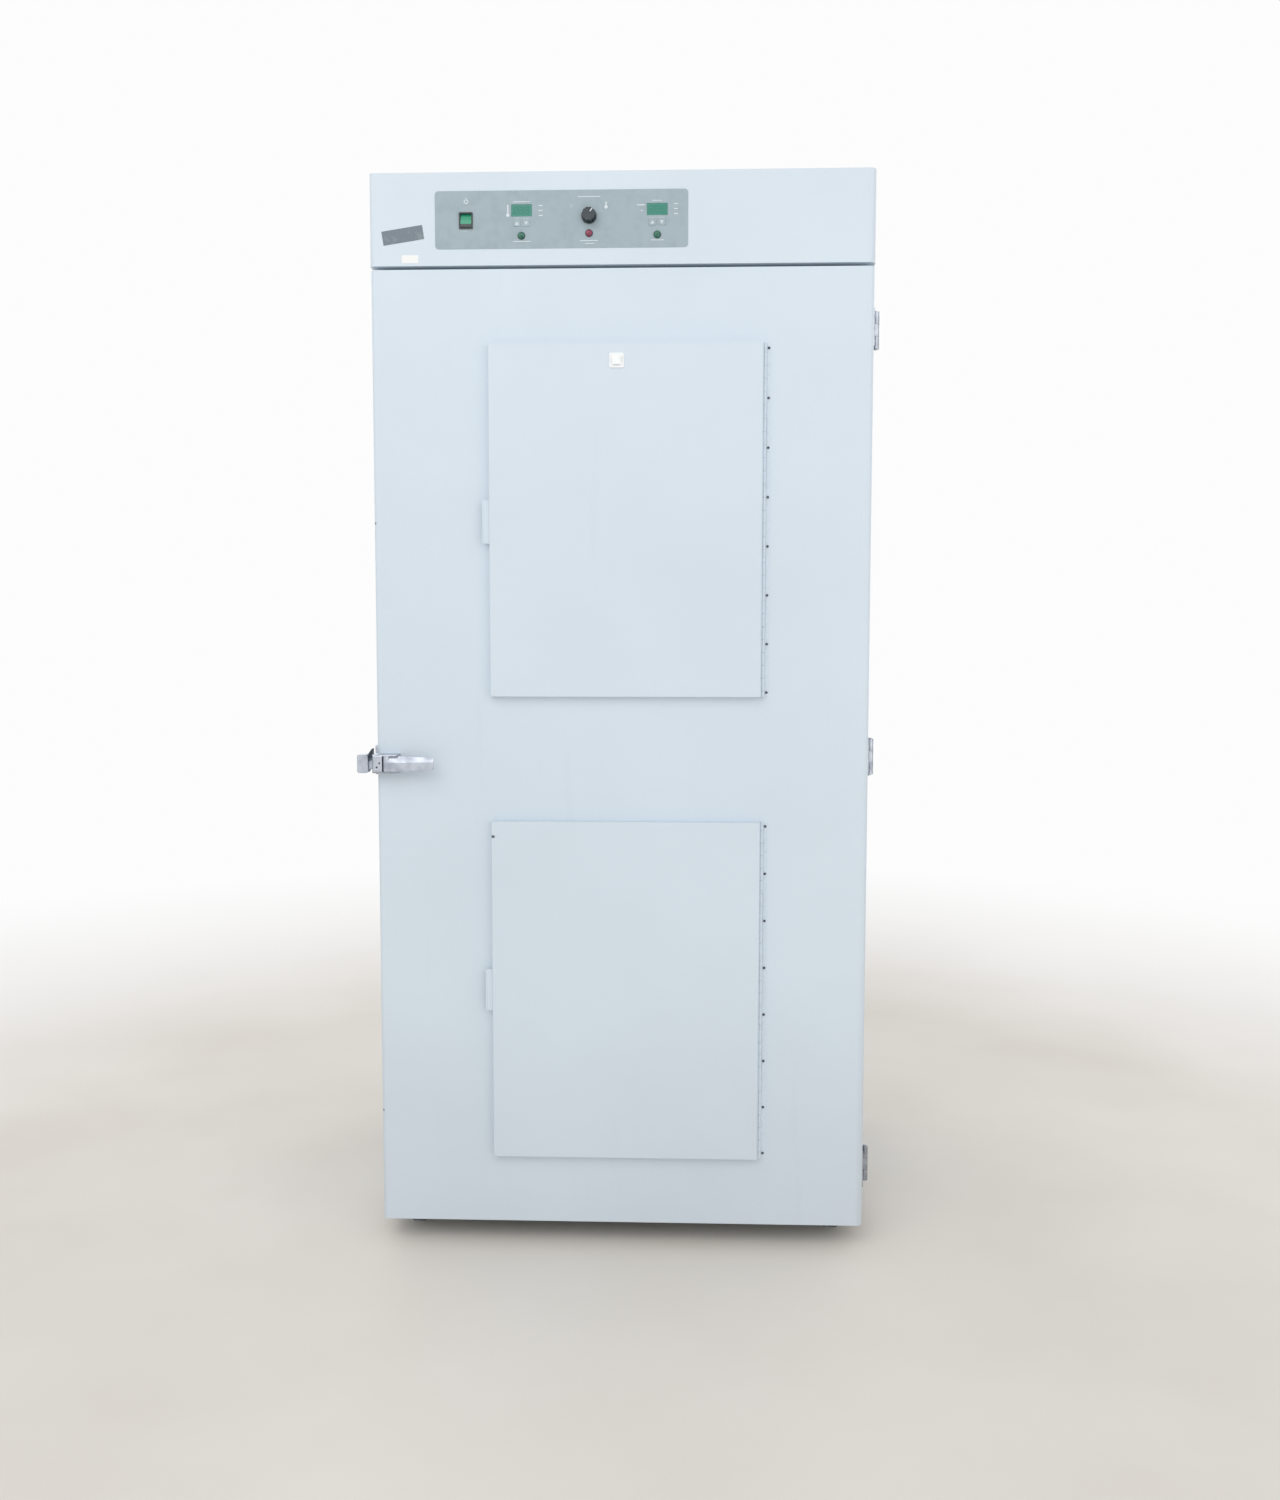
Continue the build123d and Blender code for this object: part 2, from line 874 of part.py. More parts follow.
def shelf(z):
    """A slotted sheet shelf with its front and back edges folded down."""
    half = standard_face - shelf_side_play
    low_y = duct_front + shelf_end_play
    high_y = liner_back - shelf_end_play
    sheet = block(-half, half, low_y, high_y, z, z + shelf_sheet)
    lip_low = z + shelf_sheet - shelf_lip
    front = block(-half, half, low_y, low_y + shelf_sheet, lip_low, z + shelf_sheet)
    back = block(-half, half, high_y - shelf_sheet, high_y, lip_low, z + shelf_sheet)
    tray = sheet + front + back
    slots = []
    for x in spaced(-half + shelf_slot_border, half - shelf_slot_border, shelf_slot_columns):
        for y_low, y_high in shelf_slot_runs(low_y, high_y):
            slots.append(
                block(
                    x - shelf_slot_width / 2, x + shelf_slot_width / 2, y_low, y_high, z, z + shelf_sheet
                )
            )
    return tray - slots


def shelf_slot_runs(low_y, high_y):
    """Front and back rows of slots with a solid band between them."""
    middle = (low_y + high_y) / 2
    front_run = (low_y + shelf_slot_border, middle - shelf_slot_border / 2)
    back_run = (middle + shelf_slot_border / 2, high_y - shelf_slot_border)
    return [front_run, back_run]


# Blower, heater and probes

def volute(radius, outlet_reach, growth):
    """A four-arc spiral outline around the wheel with a straight outlet to the left."""
    step = scroll_step
    half = step / 2
    centres = ((-half, -half), (half, -half), (half, half), (-half, half))
    starts = (90, 180, 270, 0)
    edges = []
    for index in range(4):
        arc_radius = radius + growth + index * step
        edges.append(CenterArc(centres[index], arc_radius, starts[index], 90))
    first = edges[0] @ 0
    last = edges[3] @ 1
    edges.append(Line(last, first))
    spiral = make_face(edges)
    low_y = first.Y - 2 * growth
    high_y = last.Y
    outlet = Pos(-half - outlet_reach / 2, (low_y + high_y) / 2) * Rectangle(outlet_reach, high_y - low_y)
    return spiral + outlet


def blower_housing():
    """The scroll casing, and the divider plate that its outlet passes through."""
    inner_radius = wheel_radius + scroll_gap
    reach = blower_x - scroll_step / 2 - divider_x
    outer_outline = volute(inner_radius, reach, scroll_sheet)
    inner_outline = volute(inner_radius, reach + scroll_sheet, 0)
    casing = Pos(blower_x, blower_y, scroll_bottom) * extrude(outer_outline, scroll_height)
    hollow_height = scroll_height - 2 * scroll_sheet
    hollow = Pos(blower_x, blower_y, scroll_bottom + scroll_sheet) * extrude(inner_outline, hollow_height)
    inlet = rod_z(blower_x, blower_y, scroll_bottom, scroll_bottom + scroll_sheet, scroll_inlet_radius)
    casing = casing - hollow - inlet - shaft_opening()
    divider = block(
        divider_x - liner_sheet,
        divider_x,
        duct_front + liner_sheet,
        liner_back,
        plenum_floor_over,
        chamber_top,
    )
    half = scroll_step / 2
    outlet_low = blower_y - half + inner_radius
    outlet_high = blower_y + half + inner_radius + 3 * scroll_step
    window = block(
        divider_x - liner_sheet,
        divider_x,
        outlet_low,
        outlet_high,
        scroll_bottom + scroll_sheet,
        chamber_top - scroll_sheet,
    )
    return [casing, divider - window]


def wheel_blade():
    """One backward-curved blade under the wheel's plate."""
    outer = wheel_radius - blade_thickness
    middle = (blade_inner_radius + outer) / 2
    thickness_angle = math.degrees(blade_thickness / middle)
    middle_angle = blade_sweep_angle * 0.42

    def place(radius, angle):
        turn = math.radians(angle)
        return (radius * math.cos(turn), radius * math.sin(turn))

    front = ThreePointArc(
        place(blade_inner_radius, 0), place(middle, middle_angle), place(outer, blade_sweep_angle)
    )
    back = ThreePointArc(
        place(outer, blade_sweep_angle + thickness_angle),
        place(middle, middle_angle + thickness_angle),
        place(blade_inner_radius, thickness_angle),
    )
    tip = Line(front @ 1, back @ 0)
    root = Line(back @ 1, front @ 0)
    return extrude(make_face([front, tip, back, root]), wheel_height - wheel_plate)


def blower_wheel():
    """The wheel with its hub, and the shaft that carries it."""
    plate = rod_z(0, 0, wheel_height - wheel_plate, wheel_height, wheel_radius)
    hub = rod_z(0, 0, wheel_height - hub_height, wheel_height - wheel_plate, hub_radius)
    wheel = plate + hub
    blade = wheel_blade()
    for index in range(wheel_blades):
        wheel = wheel + Rot(0, 0, index * 360 / wheel_blades) * blade
    wheel = wheel - rod_z(0, 0, 0, wheel_height, shaft_radius + shaft_play)
    wheel = Pos(blower_x, blower_y, wheel_low) * wheel
    shaft_bottom = wheel_high - hub_height
    shaft_top = motor_top - motor_bell_height
    shaft = rod_z(blower_x, blower_y, shaft_bottom, shaft_top, shaft_radius)
    return [wheel, shaft]


def blower_motor():
    """The flanged motor that stands on the deck, bored for its shaft."""
    low = deck_over
    flange_top = low + motor_flange
    stack_top = motor_top - motor_bell_height
    flange_outline = cut_corner_plate(motor_flange_width, motor_flange_width, motor_flange_corner)
    flange = Pos(blower_x, blower_y, low) * extrude(flange_outline, motor_flange)
    stack_outline = cut_corner_plate(motor_width, motor_width, motor_corner)
    stack = Pos(blower_x, blower_y, flange_top) * extrude(stack_outline, stack_top - flange_top)
    bell = rod_z(blower_x, blower_y, stack_top, motor_top, motor_bell_radius)
    slots = []
    for z in spaced(flange_top, stack_top, motor_slot_count):
        for side in (-1, 1):
            edge = blower_y + side * motor_width / 2
            slot_half = motor_width / 2 - motor_corner
            slots.append(
                block(
                    blower_x - slot_half,
                    blower_x + slot_half,
                    edge - motor_slot / 2,
                    edge + motor_slot / 2,
                    z - motor_slot / 2,
                    z + motor_slot / 2,
                )
            )
    motor = flange + stack + bell - slots
    bore_top = stack_top + shaft_play
    return motor - rod_z(blower_x, blower_y, low, bore_top, shaft_radius + shaft_play)


def heater_posts(x):
    """The two flat posts of a strip heater, from its front end up to its terminals."""
    half_width_post = heater_post_width / 2
    half_post = heater_post_thickness / 2
    return [
        block(x - half_width_post, x + half_width_post, y - half_post, y + half_post, heater_z, heater_top)
        for y in heater_post_ys
    ]


def heater_element():
    """Flat strip heaters hung from the roof, and the plate their posts pass through."""
    pieces = []
    plate = roof_cover_plate(heater_way())
    for x in heater_xs:
        half = heater_width / 2
        bar_low = heater_z - heater_thickness
        bar = block(x - half, x + half, heater_low_y, heater_high_y, bar_low, heater_z)
        hanger_back = heater_high_y
        hanger_front = hanger_back - heater_hanger_thickness
        hanger = block(x - half, x + half, hanger_front, hanger_back, heater_z, chamber_top)
        strip = bar + hanger + heater_posts(x)
        pieces.append(strip)
        for y in heater_post_ys:
            half_x = heater_post_width / 2 + part_play
            half_y = heater_post_thickness / 2 + part_play
            slot_zs = (deck_over, deck_over + roof_plate)
            plate = plate - block(x - half_x, x + half_x, y - half_y, y + half_y, *slot_zs)
    return pieces + [plate]


def temperature_probes():
    """Two thin probes in the return air, held by nuts on one plate on the deck."""
    plate = roof_cover_plate(probe_way())
    nut_low = deck_over + roof_plate
    for x, y in probe_places():
        plate = plate + rod_z(x, y, deck_over - probe_length, deck_over, probe_radius)
        plate = plate + hexagon_z(x, y, nut_low, nut_low + probe_nut_height, probe_nut_radius)
    return [plate]


def power_relay():
    """A finned relay block on the deck."""
    low_x = relay_x - relay_width / 2
    low_y = inner_front + relay_setback
    ys = (low_y, low_y + relay_depth)
    relay = block(low_x, low_x + relay_width, *ys, deck_over, deck_over + relay_height)
    grooves = []
    pitch = relay_width / relay_fins
    for index in range(1, relay_fins):
        x = low_x + index * pitch
        groove_low = deck_over + relay_height / 2
        groove_high = deck_over + relay_height
        grooves.append(block(x - relay_fin, x + relay_fin, *ys, groove_low, groove_high))
    return relay - grooves


# Control panel

def key_places():
    """Centres of the four keys, two under each readout."""
    return [(x + side * key_spacing / 2, key_z) for x in readout_xs for side in (-1, 1)]


def lamp_places():
    """Centres of the three pilot lamps."""
    greens = [(x, green_lamp_z) for x in green_lamp_xs]
    return greens + [(red_lamp_x, red_lamp_z)]


def rocker_way(y_low, y_high):
    """The cut-out for the power switch."""
    half_way = rocker_width / 2 - rocker_bezel_width / 2
    half_tall = rocker_height / 2 - rocker_bezel_width / 2
    return block(
        rocker_x - half_way, rocker_x + half_way, y_low, y_high, rocker_z - half_tall, rocker_z + half_tall
    )


def head_holes():
    """The cut-outs in the head's face: one behind each group of the panel's parts."""
    y_span = (door_front - 1, head_face_in + 1)
    lamp_half = lamp_body_radius + part_play
    holes = [
        rocker_way(*y_span),
        rod_y(knob_x, knob_z, *y_span, thermostat_bush_radius + part_play),
        block(
            red_lamp_x - lamp_half,
            red_lamp_x + lamp_half,
            *y_span,
            red_lamp_z - lamp_half,
            red_lamp_z + lamp_half,
        ),
    ]
    for x in readout_xs:
        half = readout_width / 2 + part_play
        group_low = green_lamp_z - lamp_half
        group_high = readout_z + readout_height / 2 + part_play
        holes.append(block(x - half, x + half, *y_span, group_low, group_high))
    return holes


def overlay_holes():
    """The cut-outs that the panel's parts need in the printed sheet."""
    y_span = (overlay_front - 1, door_front + 1)
    holes = [rocker_way(*y_span), rod_y(knob_x, knob_z, *y_span, thermostat_bush_radius + part_play)]
    for x in readout_xs:
        half = readout_width / 2 + part_play
        half_tall = readout_height / 2 + part_play
        holes.append(block(x - half, x + half, *y_span, readout_z - half_tall, readout_z + half_tall))
    for x, z in key_places():
        holes.append(key_outline(x, z, key_play, y_span[0], y_span[1]))
    for x, z in lamp_places():
        holes.append(rod_y(x, z, *y_span, lamp_body_radius + part_play))
    return holes


def key_outline(x, z, play, y_low, y_high):
    """A key's body between two depths, grown by a play all round."""
    outline = cut_corner_plate(key_width + 2 * play, key_height + 2 * play, key_corner)
    face = Plane((x, y_low, z), x_dir=(1, 0, 0), z_dir=(0, 1, 0)) * outline
    return extrude(face, y_high - y_low)


def control_overlay():
    """The thin printed panel on the face of the head."""
    x = overlay_left + overlay_width / 2
    z = overlay_bottom + overlay_height / 2
    overlay = plate_xz(x, z, overlay_width, overlay_height, overlay_front, door_front, overlay_round)
    return overlay - overlay_holes()


def display_windows():
    """The clear windows of the two readouts, set back a little in the panel."""
    pieces = []
    front = overlay_front + readout_recess
    for x in readout_xs:
        pieces.append(
            block(
                x - readout_width / 2,
                x + readout_width / 2,
                front,
                front + readout_thickness,
                readout_z - readout_height / 2,
                readout_z + readout_height / 2,
            )
        )
    return pieces


def display_boards():
    """A circuit board behind each readout: display block, key switches and standoffs."""
    pieces = []
    display_front = overlay_front + readout_recess + readout_thickness
    key_back = overlay_front - key_proud + key_depth
    switch_front = key_back + key_travel + part_play
    board_front = display_front + board_gap
    board_back = board_front + board_thickness
    half_switch = switch_width / 2
    lamp_half = lamp_body_radius + part_play
    for x in readout_xs:
        half = board_width / 2
        half_tall = board_height / 2
        board = block(x - half, x + half, board_front, board_back, board_z - half_tall, board_z + half_tall)
        half_show = readout_width / 2
        show_zs = (readout_z - readout_height / 2, readout_z + readout_height / 2)
        board = board + block(x - half_show, x + half_show, display_front, board_front, *show_zs)
        for side in (-1, 1):
            key_x = x + side * key_spacing / 2
            switch_xs = (key_x - half_switch, key_x + half_switch)
            switch_zs = (key_z - half_switch, key_z + half_switch)
            board = board + block(*switch_xs, switch_front, board_front, *switch_zs)
            for end in (-1, 1):
                post_x = x + side * (half - standoff_inset)
                post_z = board_z + end * (half_tall - standoff_inset)
                board = board + hexagon_y(post_x, post_z, head_face_in, board_front, standoff_radius)
        for lamp_x, lamp_z in lamp_places():
            lamp_xs = (lamp_x - lamp_half, lamp_x + lamp_half)
            lamp_zs = (lamp_z - lamp_half, lamp_z + lamp_half)
            board = board - block(*lamp_xs, board_front, board_back, *lamp_zs)
        pieces.append(board)
    return pieces


def key_cap(x, z):
    """One key that stands a little proud of the panel."""
    front = overlay_front - key_proud
    return key_outline(x, z, 0, front, front + key_depth)


def lamp(x, z):
    """A pilot lamp: a lens on the panel, with its body behind."""
    lens = rod_y(x, z, overlay_front - lamp_lens_height, overlay_front, lamp_radius)
    return lens + rod_y(x, z, overlay_front, overlay_front + lamp_body_depth, lamp_body_radius)


def rocker_pivot():
    """Depth of the power switch's pivot."""
    return overlay_front + rocker_pivot_depth


def rocker_housing():
    """The switch's bezel and box, with a hollow for the paddle."""
    bezel = plate_xz(
        rocker_x,
        rocker_z,
        rocker_width,
        rocker_height,
        overlay_front - rocker_bezel,
        overlay_front,
        rocker_bezel_width / 2,
    )
    inset = rocker_bezel_width / 2 + part_play
    box = block(
        rocker_x - rocker_width / 2 + inset,
        rocker_x + rocker_width / 2 - inset,
        overlay_front,
        overlay_front + rocker_body_depth,
        rocker_z - rocker_height / 2 + inset,
        rocker_z + rocker_height / 2 - inset,
    )
    hollow = block(
        rocker_x - rocker_width / 2 + rocker_bezel_width,
        rocker_x + rocker_width / 2 - rocker_bezel_width,
        overlay_front - rocker_bezel,
        overlay_front + rocker_body_depth - rocker_bezel_width,
        rocker_z - rocker_height / 2 + rocker_bezel_width,
        rocker_z + rocker_height / 2 - rocker_bezel_width,
    )
    pivot_y = rocker_pivot()
    low_x = rocker_x - rocker_width / 2 + rocker_bezel_width / 2
    high_x = rocker_x + rocker_width / 2 - rocker_bezel_width / 2
    return bezel + box - hollow - rod_x(
        pivot_y, rocker_z, low_x, high_x, rocker_pin_radius + rocker_pin_play
    )


def power_rocker():
    """The paddle with two flats in a shallow V, pressed in at its top at rest."""
    pivot_y = rocker_pivot()
    reach = rocker_height / 2 - rocker_bezel_width - rocker_play
    half = rocker_width / 2 - rocker_bezel_width - rocker_play
    slope = math.tan(math.radians(rocker_tilt))
    crest = pivot_y - rocker_face_rise
    edge = crest + reach * slope
    back = pivot_y + rocker_paddle_back
    points = [
        (crest, rocker_z),
        (edge, rocker_z + reach),
        (back, rocker_z + reach),
        (back, rocker_z - reach),
        (edge, rocker_z - reach),
    ]
    side_plane = Plane((rocker_x - half, 0, 0), x_dir=(0, 1, 0), z_dir=(1, 0, 0))
    wedge = extrude(side_plane * make_face(Polyline(*points, close=True)), 2 * half)
    swing = rod_x(pivot_y, rocker_z, rocker_x - half, rocker_x + half, reach)
    pin_end = rocker_width / 2 - rocker_bezel_width / 2 - part_play
    pin = rod_x(pivot_y, rocker_z, rocker_x - pin_end, rocker_x + pin_end, rocker_pin_radius)
    paddle = (wedge & swing) + pin
    turn = Pos(0, pivot_y, rocker_z) * Rot(-rocker_tilt, 0, 0) * Pos(0, -pivot_y, -rocker_z)
    return turn * paddle


def limit_thermostat():
    """The limit thermostat's body behind the head, with a bush through the panel."""
    body = block(
        knob_x - thermostat_width / 2,
        knob_x + thermostat_width / 2,
        head_face_in,
        head_face_in + thermostat_depth,
        knob_z - thermostat_width / 2,
        knob_z + thermostat_width / 2,
    )
    bush = rod_y(knob_x, knob_z, overlay_front, head_face_in, thermostat_bush_radius)
    bore_back = overlay_front + thermostat_shaft_depth + part_play
    bore = rod_y(knob_x, knob_z, overlay_front, bore_back, knob_shaft_radius + knob_shaft_play)
    return body + bush - bore


def limit_knob():
    """A fluted knob with a skirt, a raised pointer and its shaft."""
    back = overlay_front - knob_air_gap
    front = back - knob_height
    skirt = rod_y(knob_x, knob_z, back - knob_skirt, back, knob_radius)
    grip = rod_y(knob_x, knob_z, front, back - knob_skirt, knob_grip_radius)
    flutes = []
    for index in range(knob_flutes):
        turn = math.radians(360 * (index + 0.5) / knob_flutes)
        x = knob_x + (knob_grip_radius + knob_flute_radius / 2) * math.cos(turn)
        z = knob_z + (knob_grip_radius + knob_flute_radius / 2) * math.sin(turn)
        flutes.append(rod_y(x, z, front, back - knob_skirt, knob_flute_radius))
    grip = grip - flutes
    pointer = block(
        knob_x - knob_pointer_width / 2,
        knob_x + knob_pointer_width / 2,
        front - knob_pointer_width / 4,
        front,
        knob_z + knob_grip_radius / 4,
        knob_z + knob_grip_radius,
    )
    shaft = rod_y(knob_x, knob_z, back, overlay_front + thermostat_shaft_depth, knob_shaft_radius)
    turn_to_mark = (
        Pos(knob_x, 0, knob_z) * Rot(0, knob_pointer_angle, 0) * Pos(-knob_x, 0, -knob_z)
    )
    return turn_to_mark * (skirt + grip + pointer + shaft)


# Door

def window_centres():
    """Heights of the two windows, each behind the middle of its cover."""
    return (upper_cover_bottom + cover_height / 2, lower_cover_bottom + cover_height / 2)


def window_block(z, margin, y_low, y_high):
    """A block as large as a window with a margin all round."""
    return block(
        window_centre_x - window_width / 2 - margin,
        window_centre_x + window_width / 2 + margin,
        y_low,
        y_high,
        z - window_height / 2 - margin,
        z + window_height / 2 + margin,
    )


def door_outer_skin():
    """The folded outer pan of the door, with the two window holes."""
    skin = front_pan(
        -half_door,
        half_door,
        door_front,
        door_back,
        door_bottom,
        door_top,
        case_sheet,
        door_round_left,
        door_round_right,
    )
    for z in window_centres():
        skin = skin - window_block(z, 0, door_front - 1, door_front + case_sheet + 1)
    return skin


def plug_block(inset, y_low, y_high):
    """A block that fits the chamber's mouth with a margin."""
    half = liner_half - door_plug_margin - inset
    low = chamber_bottom + door_plug_margin + inset
    high = chamber_top - door_plug_margin - inset
    return block(-half, half, y_low, y_high, low, high)


def door_inner_panel():
    """The inner sheet of the door, with a shallow plug that enters the mouth."""
    half = half_door - case_sheet
    low = door_bottom + case_sheet
    high = door_top - case_sheet
    flat = block(-half, half, door_back - case_sheet, door_back, low, high)
    plug_face = door_back + door_plug_depth
    plug = plug_block(0, door_back - case_sheet, plug_face)
    hollow = plug_block(case_sheet, door_back - case_sheet, plug_face - case_sheet)
    panel = flat + plug - hollow
    for z in window_centres():
        panel = panel - window_block(z, 0, door_back - case_sheet, plug_face)
    return panel


def door_insulation():
    """The slab between the door's two sheets, cut out around the window frames."""
    half = half_door - case_sheet
    slab_front = door_front + case_sheet
    slab_back = door_back - case_sheet
    slab = front_rounded(
        -half,
        half,
        slab_front,
        slab_back,
        door_bottom + case_sheet,
        door_top - case_sheet,
        door_round_left - case_sheet,
        door_round_right - case_sheet,
    )
    for z in window_centres():
        slab = slab - window_block(z, window_frame_width, slab_front, slab_back)
    return slab


def gasket_strip(width, length):
    """A soft strip whose sealing side has rounded edges, along X."""
    depth = door_gap - gasket_squeeze_gap
    outline = Rectangle(depth, width)
    sealing = outline.vertices().group_by(Axis.X)[-1]
    outline = fillet(sealing, gasket_round)
    profile = Plane((0, door_back + depth / 2, 0), x_dir=(0, 1, 0), z_dir=(1, 0, 0)) * outline
    return Pos(-length / 2, 0, 0) * extrude(profile, length)


def door_gasket():
    """The seal around the mouth: two upright strips and two level ones."""
    low = chamber_bottom - gasket_margin - gasket_width / 2
    high = chamber_top + gasket_margin + gasket_width / 2
    side = liner_half + gasket_margin + gasket_width / 2
    level = gasket_strip(gasket_width, 2 * side - gasket_width)
    upright_length = high - low + gasket_width
    upright = Rot(0, 90, 0) * gasket_strip(gasket_width, upright_length)
    middle = (low + high) / 2
    return [
        Pos(0, 0, low) * level,
        Pos(0, 0, high) * level,
        Pos(-side, 0, middle) * upright,
        Pos(side, 0, middle) * upright,
    ]


def window_frames():
    """A collar through the door for each window, rabbeted for two panes."""
    front = door_front + case_sheet
    flat_back = door_back - case_sheet
    back = door_back + door_plug_depth - case_sheet
    pieces = []
    for z in window_centres():
        collar = window_block(z, window_frame_width, front, flat_back)
        collar = collar + window_block(z, window_rabbet + case_sheet, flat_back, back)
        collar = collar - window_block(z, 0, front, back)
        collar = collar - window_block(z, window_rabbet, front, front + pane_thickness)
        collar = collar - window_block(z, window_rabbet, back - pane_thickness, back)
        pieces.append(collar)
    return pieces


def window_panes():
    """An outer and an inner pane in each frame."""
    front = door_front + case_sheet
    back = door_back + door_plug_depth - case_sheet
    margin = window_rabbet - pane_play
    pieces = []
    for z in window_centres():
        pieces.append(window_block(z, margin, front, front + pane_thickness))
        pieces.append(window_block(z, margin, back - pane_thickness, back))
    return pieces


# Door hinges

def knuckle_spans(low, length, count, gap):
    """Start and end of each knuckle along a hinge."""
    share = length / count
    return [(low + index * share + gap / 2, low + (index + 1) * share - gap / 2) for index in range(count)]


def door_hinge_leaf(z, moving):
    """One leaf with its knuckles: the cabinet's has the outer two, the door's the middle one."""
    low = z - hinge_height / 2
    spans = knuckle_spans(low, hinge_height, 3, hinge_knuckle_gap)
    base_x = half_door if moving else half_width
    toward = -1 if moving else 1
    plate_near = hinge_y + toward * (hinge_barrel_radius + hinge_leaf_gap)
    plate_far = plate_near + toward * hinge_leaf_width
    plate_ys = sorted((plate_near, plate_far))
    leaf = block(base_x, base_x + hinge_leaf, *plate_ys, low, low + hinge_height)
    finger_near = hinge_y + toward * (hinge_barrel_radius - hinge_finger)
    finger_far = hinge_y + toward * hinge_barrel_radius
    finger_middle = ((base_x + hinge_x) / 2, (finger_near + finger_far) / 2)
    finger = Pos(*finger_middle) * Rectangle(hinge_x - base_x, hinge_finger)
    tail_middle = (base_x + hinge_leaf / 2, (finger_near + plate_near) / 2)
    tail = Pos(*tail_middle) * Rectangle(hinge_leaf, abs(plate_near - finger_near))
    barrel = Pos(hinge_x, hinge_y) * Circle(hinge_barrel_radius)
    bore = Pos(hinge_x, hinge_y) * Circle(hinge_pin_radius + hinge_play)
    knuckle = finger + tail + barrel - bore
    for index, (start, end) in enumerate(spans):
        if (index == 1) == moving:
            leaf = leaf + Pos(0, 0, start) * extrude(knuckle, end - start)
    return leaf


def door_hinge_pins():
    """A pin for each door hinge, a little longer than its knuckles."""
    pieces = []
    for z in hinge_zs:
        low = z - hinge_height / 2 - hinge_pin_end
        high = z + hinge_height / 2 + hinge_pin_end
        pieces.append(rod_z(hinge_x, hinge_y, low, high, hinge_pin_radius))
    return pieces


# Window covers

def cover_pan(bottom):
    """A shallow folded pan with a curled finger tab on its left edge."""
    pan = front_pan(
        cover_left,
        cover_right,
        cover_front,
        cover_back,
        bottom,
        bottom + cover_height,
        cover_sheet,
        cover_round,
        cover_round,
    )
    return pan


def cover_tab(bottom):
    """The finger tab: a strip that leaves the left wall and curls outward."""
    middle = bottom + cover_height / 2
    low = middle - cover_tab_height / 2
    back = door_front - cover_tab_offset
    front = back - cover_tab_thickness
    bend_x = cover_left - cover_tab_length + cover_tab_curl
    strip = block(bend_x, cover_left, front, back, low, low + cover_tab_height)
    curl_outline = Pos(bend_x, back - cover_tab_curl) * Circle(cover_tab_curl)
    curl_hollow = Pos(bend_x, back - cover_tab_curl) * Circle(cover_tab_curl - cover_tab_thickness)
    quarter_width = cover_tab_curl
    quarter = Pos(bend_x - quarter_width / 2, back - quarter_width / 2) * Rectangle(
        quarter_width, quarter_width
    )
    curl = extrude((curl_outline - curl_hollow) & quarter, cover_tab_height)
    return strip + Pos(0, 0, low) * curl


def piano_leaf_solid(bottom, moving):
    """One leaf of a piano hinge with every second knuckle."""
    spans = knuckle_spans(bottom, cover_height, piano_knuckles, piano_knuckle_gap)
    top = bottom + cover_height
    clear = piano_radius + piano_side_gap
    if moving:
        leaf_x = (cover_right, cover_right + piano_leaf)
        leaf = block(*leaf_x, cover_front + cover_round, piano_y - clear, bottom, top)
    else:
        leaf_y = (door_front - piano_leaf, door_front)
        leaf = block(piano_x + clear, piano_x + piano_leaf_width, *leaf_y, bottom, top)
    for index, (start, end) in enumerate(spans):
        if (index % 2 == 1) == moving:
            leaf = leaf + rod_z(piano_x, piano_y, start, end, piano_radius)
            if moving:
                finger = block(*leaf_x, piano_y - clear, piano_y, start, end)
            else:
                finger = block(piano_x, piano_x + clear, *leaf_y, start, end)
            leaf = leaf + finger
    return leaf - rod_z(piano_x, piano_y, bottom, top, piano_pin_radius + piano_play)


def piano_pin(bottom):
    """The long pin of a piano hinge."""
    return rod_z(piano_x, piano_y, bottom, bottom + cover_height, piano_pin_radius)


def cover_catches():
    """A magnetic catch on the door inside each cover's free edge, with a strike step."""
    pieces = []
    low_x = cover_left + catch_inset
    catch_depth = cover_depth - cover_sheet - catch_gap
    for z in window_centres():
        catch = block(
            low_x,
            low_x + catch_width,
            door_front - catch_depth,
            door_front,
            z - catch_height / 2,
            z + catch_height / 2,
        )
        foot = block(
            low_x,
            low_x + catch_width + catch_step,
            door_front - catch_step,
            door_front,
            z - catch_height / 2 - catch_step,
            z + catch_height / 2 + catch_step,
        )
        pieces.append(catch + foot)
    return pieces


def cable_tie_mount():
    """A square adhesive base with a saddle that two crossing ties can pass through."""
    z = upper_cover_bottom + cover_height - tie_drop
    base_front = cover_front - tie_base
    base = plate_xz(tie_centre_x, z, tie_size, tie_size, base_front, cover_front, tie_round)
    saddle_front = base_front - tie_rise
    half_channel = tie_channel_width / 2
    half_saddle = tie_saddle / 2
    saddle_xs = (tie_centre_x - half_saddle, tie_centre_x + half_saddle)
    saddle = block(*saddle_xs, saddle_front, base_front, z - half_saddle, z + half_saddle)
    channel_front = base_front - tie_channel_height
    level = block(
        tie_centre_x - half_saddle,
        tie_centre_x + half_saddle,
        channel_front,
        base_front,
        z - half_channel,
        z + half_channel,
    )
    upright = block(
        tie_centre_x - half_channel,
        tie_centre_x + half_channel,
        channel_front,
        base_front,
        z - half_saddle,
        z + half_saddle,
    )
    return base + (saddle - level - upright)


# Latch and strike

